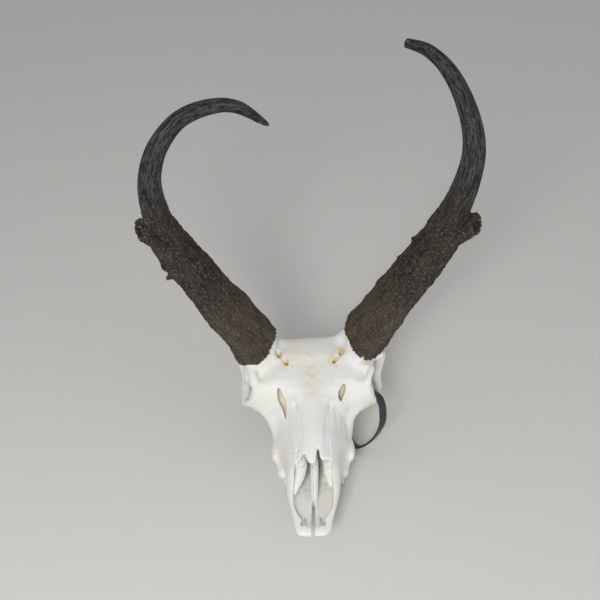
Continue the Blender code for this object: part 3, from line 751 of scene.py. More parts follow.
@dataclass
class SkullForm:
    """The bony skull without its teeth, modelled as one block of clay and then parted."""

    voxel: float = 0.8
    core: Rows = (
        (0, 12.5, 26, 29, 23.5, 2.6, 2.6), (6, 16.4, 26, 31, 22.5, 2.6, 2.8),
        (16, 18.6, 28, 34, 22, 2.6, 3), (28, 21.6, 30, 39.5, 22, 2.6, 3),
        (43, 25.2, 34, 50.5, 22.5, 2.4, 3), (56, 26.4, 38, 61.5, 23, 2.3, 3.2),
        (66, 27.4, 39, 67, 23, 2.1, 3.2), (80, 30.5, 36, 73.5, 22, 1.9, 3),
        (98, 37.5, 33, 81, 21, 1.6, 2.8), (112, 39.5, 37, 87, 21, 1.6, 2.4),
        (122, 43, 50, 91, 22, 1.9, 1.7), (130, 53, 64, 94, 23, 2.5, 1.4),
        (136, 61, 70, 96.5, 24, 3, 1.2), (148, 62, 80, 101, 30, 3.2, 1.1),
        (160, 61, 88, 106.3, 34, 3, 1.1), (171, 54, 89, 107.6, 34, 2.6, 1.15),
        (184, 47, 74, 103.2, 31, 2.8, 1.5), (198, 40, 59, 93, 27, 2.4, 2),
        (214, 37, 51, 79.5, 22, 2, 2.2), (228, 36, 45, 66, 19, 2, 2.4),
        (238, 31, 39, 56, 18, 2, 2.4), (247, 20, 32, 44, 19, 2, 2.2), (252, 9, 29, 34, 23, 2, 2),
    )
    tunnel: Rows = (
        (50, 18.6, 43, 54.5, 28.5, 2.6, 3), (66, 18, 43, 61.5, 30, 2.4, 2.6),
        (84, 15, 44, 67, 33, 2.2, 2.2), (100, 8, 48, 62, 40, 2, 2), (106, 2, 50, 53, 47, 2, 2),
    )
    septum: Slab = Slab((0, 86, 46), (0.9, 26, 13))
    orbit_centre: Point = (67, 155, 76)
    orbit_radius: float = 24.0
    orbit_flare: Point = (5.7, -2.1, 3.5)
    orbit_front: float = 4.0
    orbit_rim: float = 3.4
    pedicle_root: Point = (46, 161, 84)
    pedicle_share: float = 0.86
    core_length: float = 11.0
    core_lead: Point = (0.52, 0.21, 0.82)
    seam: float = 0.1
    base: SheathBase = SheathBase()
    walls: Parts = (
        (Ball((47.5, 134, 71), (14, 7.5, 19)), 7),
        (Bar(((34, 114, 42), (47, 131.5, 57), (64, 139, 60)), (6, 5.2, 4.4)), 7),
    )
    sockets: Parts = (
        (Ball((64, 156, 76), (34, 19.8, 20)), 3), (Ball((60, 178, 62), (24, 22, 20)), 5),
    )
    outer: Parts = (
        (
            Bar(((69, 166, 54), (67, 186, 52), (57, 205, 49), (32, 218, 44)), (4.2, 3.8, 4.4, 7.5)),
            5,
        ),
        (Ball((18, 209, 25), (8, 13, 11)), 2.5), (Ball((12.5, 250, 25), (9, 9.2, 9.5)), 3),
        (Ball((12.5, 155, 30), (2, 16, 15)), 4),
        (Bar(((26, 206, 36), (39, 209, 41)), (4.6, 4.6)), 3),
        (Bar(((28, 234, 34), (28, 236, 16), (27, 238, 3.2)), (7, 4.4, 3.2)), 5),
        (
            Bar(
                ((60, 164, 99), (66, 174, 89), (67.5, 176.5, 75), (65.5, 171, 60)),
                (4.6, 4.2, 4, 4.2),
            ),
            4,
        ),
        (Ball((38.6, 97, 30), (3.4, 10, 6)), 8),
        (Bar(((28.6, 78.5, 21.5), (30.8, 110, 24), (31.5, 142, 24)), (6.8, 8.2, 6.6)), 6),
        (Bar(((0, 231, 64), (16, 230, 61), (32, 226, 47)), (2.6, 2.4, 2.2)), 5),
    )
    brow: Parts = (
        (
            Bar(
                (
                    (-44, 180.5, 105), (-39, 180.5, 101.5), (-32, 180, 99.3), (-24.5, 178.8, 97.9),
                    (0, 179.4, 98.6), (21.7, 180.4, 100.2), (30.5, 181.2, 104),
                    (36.8, 181.8, 109.6),
                ),
                (8,) * 8,
            ),
            6,
        ),
        (
            Bar(
                ((-64, 158, 96), (-66.5, 166, 86), (-66, 170, 74), (-64.5, 165, 60)),
                (4.4, 4.4, 4.4, 4.2),
            ),
            4,
        ),
        (Bar(((-58.5, 136, 90), (-59.5, 144, 94.5), (-58.5, 150, 99)), (3.6, 4.2, 4)), 5),
        (Bar(((-66.5, 160, 62), (-66.8, 153, 58.5), (-66, 145.5, 57.5)), (4.6, 5.4, 5.2)), 4),
    )
    grooves: Parts = (
        (Bar(((13.6, 60, 64.6), (15, 90, 74), (17.5, 112, 80.8)), (2.8, 3.4, 3)), 3),
        (Ball((36.6, 85, 35), (2.4, 3.4, 1.7)), 1), (Ball((0, 256, 36), (8.5, 16, 7.5)), 2),
        (Ball((0, 146, 32), (10.5, 22, 9)), 3),
    )
    aperture: Aperture = Aperture()
    nose: Parts = (
        (
            Bar(
                ((1, 26, 26.5), (1, 40, 31), (1, 56, 39), (1, 72, 49), (1, 90, 59)),
                (2.6, 3.6, 4, 4, 3),
            ),
            2.5,
        ),
        (
            Bar(
                (
                    (-11.6, 72, 52), (-12.2, 62, 47), (-13.8, 53, 42.5), (-15.8, 46, 39),
                    (-17.4, 41, 36.5),
                ),
                (6.2, 6.2, 5.4, 3.6, 1.6),
            ),
            1,
        ),
        (Bar(((14.6, 72, 50), (14.6, 62, 43.5), (15.8, 50, 36.5)), (6, 5.2, 2)), 2),
    )
    nose_cuts: Parts = (
        (Slab((0, 12.5, 28), (1.25, 24, 24)), 0.4),
        (Bar(((14, 60, 56.5), (15.5, 50, 50), (17, 42, 43.5)), (1, 1.1, 0.6)), 1),
    )
    leaves: tuple[tuple[tuple[Point, ...], tuple[float, ...], Point], ...] = (
        (
            (
                (-33.3, 129, 88), (-32.6, 125.9, 83.9), (-31.6, 123.8, 81), (-29.9, 120.7, 76.3),
                (-28.3, 117.5, 73.3), (-27, 107, 66.5),
            ),
            (0.6, 2.2, 3, 2.1, 0.8, 0.5), (0, 6.3, -4.9),
        ),
        (
            (
                (31.2, 130.9, 89.9), (30.6, 128, 87.2), (28.9, 125.8, 84.9), (28, 123.3, 81.2),
                (28.5, 120.9, 77.4),
            ),
            (0.8, 2.2, 3, 2.4, 0.7), (0, 6.3, -4.9),
        ),
        (((-6.8, 22, 36), (-7.7, 16.5, 36), (-9, 10.5, 36)), (0.5, 1.4, 2.5), (0, 0, -24)),
        (((6.8, 22, 36), (7.7, 16.5, 36), (9.2, 10.5, 36)), (0.5, 1.4, 2.5), (0, 0, -24)),
    )
    leaf_step: float = 1.5
    leaf_blend: float = 0.6
    slits: Parts = (
        (Bar(((-26.8, 112, 71.5), (-26.6, 106, 66.8), (-26.4, 98, 62.5)), (1.6, 1.8, 1)), 1.6),
        (Bar(((25.2, 116, 77.5), (24.6, 108, 70.5), (25.2, 98, 64.5)), (1.6, 1.8, 1)), 1.6),
        (
            Bar(((19.4, 118.6, 84.4), (20.4, 114.6, 80.4), (18.9, 110.6, 78.4)), (1.2, 1.3, 0.8)),
            0.8,
        ),
        (
            Bar(((22.2, 121.4, 84.6), (21.4, 117.4, 81.4), (22.6, 113.6, 77.2)), (1.1, 1.2, 0.8)),
            0.8,
        ),
        (
            Bar(((-20.6, 108.6, 75.4), (-19.4, 106.4, 74.8), (-19, 104.6, 73.4)), (0.8, 1.2, 0.6)),
            0.8,
        ),
    )
    pits: Parts = (
        (Bar(((-33.6, 161.5, 106), (-33, 160, 97)), (2.7, 1.8)), 1.2),
        (Bar(((-32, 158.5, 104.8), (-28, 154, 103.2), (-24.6, 150.5, 102)), (1.7, 1.3, 1.6)), 1.6),
        (Bar(((-24.6, 150.5, 103), (-25.4, 151.8, 97)), (1.5, 1)), 1),
        (Bar(((30.6, 162, 107), (29.6, 160.5, 98)), (2.3, 1.6)), 1.2),
        (Bar(((29.6, 161, 106.2), (25.5, 155.6, 104), (21.8, 151.2, 102.6)), (2.1, 1.7, 1.7)), 1.6),
        (Bar(((22.2, 151.5, 103), (22.8, 153, 97)), (1.4, 1)), 1),
        (Bar(((-24, 150, 102.4), (-22.6, 140, 98.6), (-23.5, 130, 93.5)), (1.3, 1.2, 0.6)), 1.6),
        (Bar(((21.4, 150, 102.6), (19.8, 140, 99), (20.5, 130, 94)), (1.3, 1.2, 0.6)), 1.6),
    )
    corner: Parts = (
        (Ball((71.5, 143, 106), (10.4, 14, 13)), 3), (Ball((69.5, 151.5, 99.5), (7.4, 10, 7)), 2.5),
        (Ball((71, 153.5, 102), (8.4, 9.6, 7.4)), 1.5),
        (Wedge((58.6, 152.9, 106), (0.42, -0.84, -0.34), Slab((66, 146, 116), (20, 22, 15))), 3),
    )
    lean: Rows = ((0, -2.7), (30, -1.7), (60, -0.9), (105, 0))
    cheek: tuple[Point, Point, float] = ((46, 124, 56), (18, 20, 18), 5)

    def orbit_loop(self) -> Bar:
        """The rim of the left orbit, which swings outward at its rear."""
        x, y, z = self.orbit_centre
        rear, above, between = self.orbit_flare
        spots = []
        for angle in np.linspace(0.0, 2 * math.pi, 40, endpoint=False):
            out = rear * math.cos(angle) + above * math.sin(angle) + between * math.sin(2 * angle)
            out -= self.orbit_front * max(-math.cos(angle), 0.0) ** 3
            back, up = self.orbit_radius * math.cos(angle), self.orbit_radius * math.sin(angle)
            spots.append((x + out, y + back, z + up))
        return Bar(tuple(spots), (self.orbit_rim,) * len(spots), closed=True)

    def stalk(self) -> Stalk:
        """The bony stalk of the left sheath, flat where the sheath stands on it."""
        centre, front, inner, normal = self.base.axes(Side.LEFT)
        halves = tuple(half * self.pedicle_share for half in self.base.halves)
        top = centre - normal * self.base.gap
        lead = unit(self.core_lead)
        return Stalk(np.array(self.pedicle_root), top, front, inner, lead, halves, self.core_length)

    def half_form(self) -> Clay:
        """The left half, which both sides share."""
        clay = Clay.empty((0.0, -4.0, -2.0), (88.0, 264.0, 124.0), self.voxel)
        clay.add((Sections(self.core), 0.0), *self.walls, (self.stalk(), 5.0))
        clay.carve(*self.sockets)
        clay.add((self.orbit_loop(), 3.0), *self.outer)
        clay.carve(*self.grooves)
        return clay

    def carve_nose(self, clay: Clay) -> None:
        """The opening of the nose and the passage behind it, with its septum and shells."""
        clay.carve((self.aperture, 0.8), (Sections(self.tunnel), 1.0))
        clay.add((self.septum, 1.0), *self.nose)
        clay.carve(*self.nose_cuts)

    def finished(self) -> Clay:
        """The whole skull, with what differs between its sides."""
        clay = self.half_form().both_sides()
        clay.add(*self.brow)
        self.carve_nose(clay)
        clay.carve(*self.corner, *self.slits, *self.pits)
        for spots, radii, way in self.leaves:
            for share in np.linspace(0.0, 1.0, 1 + round(np.linalg.norm(way) / self.leaf_step)):
                moved = np.array(spots) + share * np.array(way)
                clay.carve((Bar(tuple(map(tuple, moved)), radii), self.leaf_blend))
        return clay

    def leaned(self, points: Array) -> Array:
        """The points with the snout drawn to one side and the left cheek drawn in, as they grew."""
        at, aside = np.array(self.lean).T
        centre, radii, inward = self.cheek
        near = np.exp(-(((points - centre) / radii) ** 2).sum(axis=1))
        points = points.copy()
        points[:, 0] += np.interp(points[:, 1], at, aside) - inward * near
        return points


@dataclass(frozen=True)
class Cuts:
    """Where the skull is parted into bones, as lines of distance back and height."""

    premaxilla: Rows = ((44, -20), (46, 24), (72, 66), (72, 160))
    cranium: Rows = ((147, -20), (147, 26), (128, 34), (120, 70), (116, 160))
    nasal_halves: Pair = (13.5, 16.5)
    nasal_reach: Pair = (52, 118)
    nasal_floor: float = 52.0

    @staticmethod
    def behind(line: Rows, x: Array, y: Array, z: Array) -> Array:
        """How far each place lies before a cut line, with the weave of a suture added."""
        at, heights = np.array(line).T
        cut = np.interp(z.ravel(), heights, at).reshape(z.shape).astype(np.float32)
        across = 0.9 * np.sin(x / 1.9 + np.sin(x / 6.0) * 2)
        upward = 0.7 * np.sin(z / 1.7 + np.sin(z / 5.0) * 2)
        return cut + (across + upward) - y

    def nasal(self, x: Array, y: Array, z: Array) -> Array:
        """How far each place lies outside the block of the nasal bones."""
        wave = 0.5 * np.sin(y / 3.1) + 0.3 * np.sin(y / 1.7 + 2.0)
        half = np.interp(y.ravel(), self.nasal_reach, self.nasal_halves).reshape(y.shape) + wave
        side = np.abs(x) - half + np.zeros_like(z)
        rear = y - self.nasal_reach[1] + 0.8 * np.sin(x / 1.6) + np.zeros_like(z)
        return np.maximum(np.maximum(side, rear), self.nasal_floor - z + np.zeros_like(x + y))


class Bone(Enum):
    """The bones of the skull that are pieces of their own, named as their nodes."""

    CRANIUM = "cranium"
    FACE = "face"
    NASALS = "nasals"
    PREMAXILLA_LEFT = "premaxilla_left"
    PREMAXILLA_RIGHT = "premaxilla_right"


Level = Callable[[Array], Array]


def slopes(level: Level, points: Array, reach: float = 0.4) -> tuple[Array, Array]:
    """A field's value and slope at each point.

    Args:
        level: gives the field's value at points.
        points: where, one row each.
        reach: how far apart the values for the slope lie.

    Returns:
        The value and the slope at each point.
    """
    steps = reach * np.eye(3)
    rises = [(level(points + step) - level(points - step)) / (2 * reach) for step in steps]
    return level(points), np.column_stack(rises)


@dataclass
class Skull:
    """Parts the skull, gives its surface the grain of bone, and makes its pieces."""

    form: SkullForm = field(default_factory=SkullForm)
    cuts: Cuts = Cuts()
    stains: Rows = (
        (0, 148, 101, 19, 0.55), (-2, 136, 97, 12, 0.75), (-2, 126, 92, 7, 0.5),
        (-33, 160, 104, 5.5, 2.1), (-25, 151, 101.5, 6, 1.9), (30, 162, 106, 5, 2.1),
        (22, 152, 102, 6.5, 1.9), (-14, 62, 52, 9, 0.55), (-31.4, 128, 77.5, 4.4, 2),
        (29, 130.5, 81.5, 4.4, 2), (-6, 76, 50, 6, 0.6), (4.5, 82, 54, 6, 0.5),
        (-62, 150, 60, 5, 0.9), (56, 140, 90, 12, 0.5), (-40, 148, 99, 13, 0.45),
        (-56, 138, 86, 11, 0.5),
    )

    hollow_reaches: Pair = (2.5, 9)
    unevenness: tuple[tuple[int, float, float], ...] = ((11, 26, 0.35), (23, 5, 0.12))
    sink: float = 0.25

    def region(self, bone: Bone, x: Array, y: Array, z: Array) -> Array:
        """How far each place lies outside the part of the skull that a bone takes."""
        gap = self.form.seam / 2
        rear = self.cuts.behind(self.cuts.cranium, x, y, z)
        front = self.cuts.behind(self.cuts.premaxilla, x, y, z)
        nasal = self.cuts.nasal(x, y, z)
        match bone:
            case Bone.CRANIUM:
                return rear + gap
            case Bone.FACE:
                return np.maximum(np.maximum(-rear, front) + gap, gap - nasal)
            case Bone.NASALS:
                return nasal + gap
            case Bone.PREMAXILLA_LEFT:
                return np.maximum(np.maximum(gap - front, gap - x), gap - nasal)
            case Bone.PREMAXILLA_RIGHT:
                return np.maximum(np.maximum(gap - front, gap + x), gap - nasal)

    def part(self, clay: Clay, bone: Bone) -> Surface:
        """The surface of one bone."""
        low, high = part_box(bone.value)
        corners = [np.array(corner) for corner in (low, high)]
        low, high = ((corner - np.array((PLACE.middle, PLACE.tip, 0.0))) / MM for corner in corners)
        cut, (x, y, z) = clay.window(low - 4.0, high + 4.0)
        values = np.maximum(clay.values[cut], as_distance(self.region(bone, x, y, z), x, y, z))
        start = np.array([s.start for s in cut])
        surface = Surface.from_clay(Clay(clay.low + clay.step * start, clay.step, values))
        surface.keep_largest()
        edge = self.sharpen(surface, clay, bone)
        surface.soften(1, np.where(edge, 0.0, 0.5))
        return surface

    def sharpen(self, surface: Surface, clay: Clay, bone: Bone) -> Array:
        """Draws the points beside a cut onto the corner between the cut and the outer surface.

        Args:
            surface: the bone's surface, whose points are moved.
            clay: the whole skull.
            bone: which bone it is.

        Returns:
            Which points lie beside a cut.
        """

        def cut(points: Array) -> Array:
            return self.region(bone, *points.T)

        def outer(points: Array) -> Array:
            return clay.read(clay.values, points)

        reach = 1.3 * clay.step
        value, slope = slopes(cut, surface.points)
        beside = np.abs(value) / np.linalg.norm(slope, axis=1) < reach
        near = np.flatnonzero(beside & (np.abs(outer(surface.points)) < reach))
        spots = surface.points[near]
        for _ in range(4):
            for level in (outer, cut):
                value, slope = slopes(level, spots)
                step = (value / np.maximum((slope**2).sum(axis=1), 0.05))[:, None] * slope
                spots = spots - np.clip(step, -reach, reach)
        moved = np.linalg.norm(spots - surface.points[near], axis=1) < 2 * reach
        surface.points[near[moved]] = spots[moved]
        return beside

    def stain(self, points: Array) -> Array:
        """How yellow the bone is at each point."""
        total = np.zeros(len(points))
        for x, y, z, reach, weight in self.stains:
            away = np.linalg.norm(points - (x, y, z), axis=1)
            total = np.maximum(total, weight * np.exp(-((away / reach) ** 2)))
        return total

    def build(self, finish: Material) -> list[bpy.types.Object]:
        """Makes every bone.

        Args:
            finish: the material of the bone.

        Returns:
            The bones' objects.
        """
        clay = self.form.finished()
        hollow, depth = (clay.blurred(reach) for reach in self.hollow_reaches)
        noises = [(Noise(seed), wave, height) for seed, wave, height in self.unevenness]
        pieces = []
        for bone in Bone:
            surface = self.part(clay, bone)
            surface.marks = {
                # The hollow mark drives painted shade in the bone's colour; the depth mark tints
                # deep recesses yellow.
                "hollow": clay.read(hollow, surface.points),
                "depth": clay.read(depth, surface.points),
                "stain": self.stain(surface.points),
            }
            _, out = slopes(lambda points: clay.read(clay.values, points), surface.points, 0.8)
            out /= np.maximum(np.linalg.norm(out, axis=1), 0.3)[:, None]
            relief = sum(
                height * noise.layered(surface.points, wave, 2) for noise, wave, height in noises
            )
            moved = surface.points + out * (relief - self.sink)[:, None]
            surface.points = self.form.leaned(moved)
            piece = PLACE.make(f"bone_{bone.value}", surface, finish, sharp=50.0)
            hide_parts(bone.value)
            pieces.append(piece)
        return pieces


@dataclass(frozen=True)
class Roughness:
    """How rough a sheath is: heights in millimetres, waves across and along it, and spans."""

    seeds: tuple[int, int, int] = (31, 47, 59)
    bark_end: Pair = (150, 215)
    ridge: float = 0.9
    ridge_wave: Point = (5, 5, 15)
    fleck: float = 0.42
    fleck_wave: Point = (2.4, 2.4, 4.4)
    groove: float = 0.45
    groove_wave: Point = (2.4, 2.4, 60)
    edge: Pair = (0.5, 1.3)
    edge_wave: Point = (40, 40, 11)
    prong_foot: Pair = (12, 20)
    prong_side: Pair = (15, 19)
    prong_span: float = 40.0
    torn_shares: Pair = (0.84, 0.95)
    torn: Pair = (1.3, 3.2)
    torn_wave: float = 3.0
    torn_pit: Pair = (0.35, 0.85)
    lining: Pair = (0.9, 0.95)
    foot: float = 0.55
    foot_end: Pair = (4, 24)
    rim: Pair = (1.6, 1.4)
    rim_wave: float = 9.0
    rim_end: Pair = (0, 14)
    base_end: Pair = (35, 95)


@dataclass
class HornSheath:
    """A horn sheath: a flattened shaft like bark, a short broken prong and a tapering hook."""

    side: Side
    path: tuple[Point, ...]
    sections: Rows
    prong_at: float
    prong_length: float
    prong_direction: Point
    spurs: Rows
    front_trim: Rows = ((0, 0), (1, 0))
    rim_lift: Rows = ((-180, 0), (180, 0))
    blunt: bool = False
    base: SheathBase = SheathBase()
    twist: float = 32.0
    base_blend: float = 34.0
    step: float = 1.5
    voxel: float = 0.8
    ring_sides: int = 72
    prong_upright: Point = (0.3, 0.86, 0.41)
    prong_root: Pair = (21, 11)
    prong_end: Pair = (12.4, 7.4)
    prong_swell: Rows = ((0, 0.6), (0.2, 0.85), (0.45, 1), (0.75, 1), (0.98, 1))
    prong_sides: int = 32
    tip_fade: Pair = (8, 2)
    socket: Pair = (12, 0.91)
    shrink: float = 0.5
    rough: Roughness = Roughness()

    def frames(self) -> Frames:
        """The middle line with its axes and half sizes: at, centre, broad, thin and halves."""
        path, arc = smooth_path([mirrored(spot, self.side) for spot in self.path], self.step)
        table = np.asarray(self.sections)
        at = arc * table[-1, 0] / arc[-1]
        _, base_front, base_inner, _ = self.base.axes(self.side)
        twist = math.radians(self.twist)
        front = np.array((self.side.value * math.sin(twist), -math.cos(twist), 0.0))
        broads, thins = [], []
        for tangent, place in zip(np.gradient(path, axis=0), at):
            tangent = unit(tangent)
            front = unit(front - tangent * front.dot(tangent))
            inner = self.side.value * np.cross(front, tangent)
            blend = float(ease(place, 0.0, self.base_blend))
            broads.append(unit(base_front * (1 - blend) + front * blend))
            thins.append(unit(base_inner * (1 - blend) + inner * blend))
        halves = np.column_stack([np.interp(at, table[:, 0], table[:, k]) for k in (1, 2)])
        axes = {"broad": np.array(broads), "thin": np.array(thins)}
        return {"at": at, "centre": path, "halves": halves} | axes

    @staticmethod
    def ring(centre: Array, first: Array, second: Array, halves: Array, sides: int) -> list[Point]:
        """An oval of points."""
        turns = np.linspace(0.0, 2 * math.pi, sides, endpoint=False)
        return [
            tuple(centre + halves[0] * math.cos(t) * first + halves[1] * math.sin(t) * second)
            for t in turns
        ]

    def prong_axes(self, frames: Frames) -> tuple[Array, Array, Array, Array]:
        """The prong's root, its direction, its upright and its cross direction."""
        root = frames["centre"][np.abs(frames["at"] - self.prong_at).argmin()]
        direction = unit(mirrored(self.prong_direction, self.side))
        across = unit(np.cross(direction, mirrored(self.prong_upright, self.side)))
        return root, direction, unit(np.cross(across, direction)), across

    def blank(self, frames: Frames) -> Surface:
        """The plain sheath with its prong, as an even mesh."""
        bm = bmesh.new()
        halves = np.maximum(frames["halves"] - self.shrink, 0.5)
        rows = zip(frames["centre"], frames["broad"], frames["thin"], halves)
        rings = [self.ring(*row, self.ring_sides) for row in rows]
        depth, share = self.socket
        inner = [
            np.array(ring) * share + frames["centre"][k] * (1 - share)
            for k, ring in enumerate(rings)
            if frames["at"][k] < depth
        ]
        self.skin(bm, inner[::-1] + rings)
        root, direction, upright, across = self.prong_axes(frames)
        rings = []
        for share, swell in self.prong_swell:
            ends = zip(self.prong_root, self.prong_end)
            sizes = np.array([swell * (a + (b - a) * share) for a, b in ends])
            centre = root + direction * self.prong_length * share
            rings.append(self.ring(centre, upright, across, sizes - self.shrink, self.prong_sides))
        self.skin(bm, rings)
        mesh = bpy.data.meshes.new("blank")
        bmesh.ops.recalc_face_normals(bm, faces=bm.faces)
        bm.to_mesh(mesh)
        bm.free()
        return self.even(mesh)

    @staticmethod
    def skin(bm: bmesh.types.BMesh, rings: list[list[Point]]) -> None:
        """Skins rings one after another and closes both ends."""
        loops = [[bm.verts.new(point) for point in ring] for ring in rings]
        for first, second in zip(loops, loops[1:]):
            for i, corner in enumerate(first):
                j = (i + 1) % len(first)
                bm.faces.new((corner, first[j], second[j], second[i]))
        bm.faces.new(reversed(loops[0]))
        bm.faces.new(loops[-1])

    def even(self, mesh: bpy.types.Mesh) -> Surface:
        """One surface of even square faces round a mesh."""
        obj = linked("blank", mesh)
        remesh = obj.modifiers.new("even", "REMESH")
        remesh.mode = "VOXEL"
        remesh.voxel_size = self.voxel
        shape = obj.evaluated_get(bpy.context.evaluated_depsgraph_get()).to_mesh()
        points = np.empty(len(shape.vertices) * 3)
        shape.vertices.foreach_get("co", points)
        faces = np.empty(len(shape.loops), np.int32)
        shape.loops.foreach_get("vertex_index", faces)
        bpy.data.objects.remove(obj, do_unlink=True)
        surface = Surface(points.reshape(-1, 3), faces.reshape(-1, 4))
        surface.keep_largest()
        surface.soften(3)
        return surface

    def spots(self, points: Array, frames: Frames) -> Frames:
        """Where points lie on the sheath.

        Args:
            points: the points, one row each.
            frames: the sheath's middle line with its axes.

        Returns:
            The middle line's values beside each point, with how far out the point lies on the two
            axes there, u and v, and the same across the slanted base, base_u and base_v.
        """
        nearest = np.empty(len(points), int)
        for start in range(0, len(points), 4000):
            some = points[start : start + 4000]
            away = ((some[:, None, :] - frames["centre"][None]) ** 2).sum(axis=2)
            nearest[start : start + 4000] = away.argmin(axis=1)
        beside = {name: values[nearest] for name, values in frames.items()}
        offset = points - beside["centre"]
        u, v = (np.einsum("ij,ij->i", offset, beside[axis]) for axis in ("broad", "thin"))
        between = np.einsum("ij,ij->i", frames["broad"], frames["thin"])[nearest]
        base_u, base_v = oblique(u, v, between)
        along = np.gradient(frames["centre"], axis=0)[nearest]
        along /= np.linalg.norm(along, axis=1)[:, None]
        return beside | {"u": u, "v": v, "base_u": base_u, "base_v": base_v, "along": along}

    def relief(self, points: Array, frames: Frames, spots: Frames, marks: Frames) -> Array:
        """How far each point is moved out of the surface.

        Args:
            points: the points, one row each.
            frames: the sheath's middle line with its axes.
            spots: where the points lie on the sheath.
            marks: what the surface carries, to which bark and broken are added.

        Returns:
            The distances.
        """
        rough, at, grain = self.rough, spots["at"], marks["grain"]
        broad, thin = spots["halves"].T
        root, direction, upright, across = self.prong_axes(frames)
        out = (points - root) @ direction
        from_axis = np.linalg.norm(points - root - out[:, None] * direction, axis=1)
        on_prong = ease(out, *rough.prong_foot) * (1.0 - ease(from_axis, *rough.prong_side))
        on_prong = on_prong * (np.abs(at - self.prong_at) < rough.prong_span)
        torn_low, torn_high = (self.prong_length * share for share in rough.torn_shares)
        broken = ease(out, torn_low, torn_high) * on_prong
        bark = (1.0 - ease(at, *rough.bark_end)) * (1.0 - 0.5 * broken)
        marks |= {"bark": bark, "broken": broken}
        ridges = self.noise(0).ridged(grain, rough.ridge_wave, 2)
        relief = bark * (rough.ridge * ridges - rough.ridge)
        fine = self.noise(1)
        relief += bark * rough.fleck * fine.layered(grain, rough.fleck_wave, 2)
        relief += (1 - bark) * (rough.groove * fine.ridged(grain, rough.groove_wave) - rough.groove)
        edge = np.clip(np.abs(spots["u"] / broad), 0.0, 1.0) ** 4 * (1.0 - on_prong)
        swell, lump = rough.edge
        relief += edge * bark * (swell + lump * self.noise(2).layered(grain, rough.edge_wave, 3))
        ends = zip((upright, across), self.prong_end)
        face = np.hypot(*((points - root) @ axis / end for axis, end in ends))
        crumble, pit = rough.torn
        pitted = pit * (1.0 - ease(face, *rough.torn_pit))
        relief += broken * (crumble * fine.layered(points, rough.torn_wave, 2) - pitted)
        radial = np.hypot(spots["base_u"] / broad, spots["base_v"] / thin)
        lining = (1.0 - ease(radial, *rough.lining)) * (at < self.socket[0] + 2.0)
        relief += rough.foot * (1.0 - ease(at, *rough.foot_end))
        relief *= 1.0 - lining
        turn = np.degrees(np.arctan2(spots["v"] / thin, spots["u"] / broad))
        girth = spots["halves"].mean(axis=1)
        for place, angle, height, spread in self.spurs:
            away = (at - place) ** 2 + (np.radians(turn - angle) * girth) ** 2
            relief += height * np.exp(-away / spread**2)
        return relief

    def noise(self, number: int) -> Noise:
        """One of the sheath's own noises."""
        return Noise(self.rough.seeds[number] + self.side.value)

    def rim_rise(self, spots: Frames) -> Array:
        """How far each point is drawn up the sheath, which leaves the rim torn."""
        broad, thin = spots["halves"].T
        turn = np.degrees(np.arctan2(spots["v"] / thin, spots["u"] / broad))
        base_turn = np.degrees(np.arctan2(spots["base_v"] / thin, spots["base_u"] / broad))
        low, high = self.rough.rim
        places = np.column_stack([turn / self.rough.rim_wave, 0 * turn, 0 * turn])
        ragged = low + high * self.noise(1).layered(places, 1.0, 2)
        ragged += np.interp(base_turn, *np.array(self.rim_lift).T)
        return ragged * (1.0 - ease(spots["at"], *self.rough.rim_end))

    def build(self, finish: Material) -> bpy.types.Object:
        """Makes the sheath.

        Args:
            finish: the material of the horn.

        Returns:
            The sheath's object.
        """
        frames = self.frames()
        surface = self.blank(frames)
        points = surface.points
        spots = self.spots(points, frames)
        at, length = spots["at"], frames["at"][-1]
        marks = {"grain": np.column_stack([spots["u"], spots["v"], at])}
        marks["relief"] = self.relief(points, frames, spots, marks)
        marks["base"] = 1.0 - ease(at, *self.rough.base_end)
        marks["tip"] = ease(at, *(length - short for short in self.tip_fade)) * self.blunt
        moved = points + surface.normals() * marks["relief"][:, None]
        moved += spots["along"] * self.rim_rise(spots)[:, None]
        front = np.clip(spots["u"] / spots["halves"][:, 0], 0.0, 1.0)
        trim = np.interp(at, *np.array(self.front_trim).T) * front
        surface.points = moved - spots["broad"] * trim[:, None]
        surface.marks = marks
        name = f"horn_sheath_{self.side.word}"
        piece = PLACE.make(f"dressed_{name}", surface, finish)
        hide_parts(name)
        return piece


@dataclass(frozen=True)
class Tooth:
    """One cheek tooth: a ribbed column with a worn, slightly hollow crown."""

    side: Side
    centre: Pair
    width: float
    depth: float
    lift: float
    lobes: int
    top: float = 24.0
    rib: float = 0.09
    cup: float = 0.9

    def bounds(self) -> tuple[Array, Array]:
        """The lowest and highest corner."""
        x, y = self.centre
        reach = 0.6 * max(self.width, self.depth) + 0.5
        low, high = (x - reach, y - reach, self.lift), (x + reach, y + reach, self.top)
        return np.array(low), np.array(high)

    def distance(self, x: Array, y: Array, z: Array) -> Array:
        """About how far each place is outside the surface."""
        swell = np.interp(z.ravel(), (0.0, 7.5, self.top), (0.95, 1.0, 0.8)).reshape(z.shape)
        across = (x - self.centre[0]) * self.side.value / (self.width / 2 * swell)
        along = (y - self.centre[1]) / (self.depth / 2 * swell)
        wave = np.cos(math.pi * self.lobes * (along + 1))
        across = across / (1 + self.rib * wave * np.clip(across, -0.5, 1))
        level = (np.abs(across) ** 3.3 + np.abs(along) ** 2.9) ** (1 / 3.1)
        wall = (level - 1) * self.width * 0.42
        lobe = (np.mod((along + 1) * self.lobes / 2, 1.0) - 0.5) * 2 / self.lobes
        lake = np.abs(np.hypot(across * 0.8 + 0.3, lobe * 1.1) - 0.5)
        hollow = self.cup * ease(1 - level, 0.1, 0.3) * (0.35 + 0.65 * np.exp(-((lake / 0.1) ** 2)))
        return np.maximum(np.maximum(wall, self.lift + hollow - z), z - self.top)


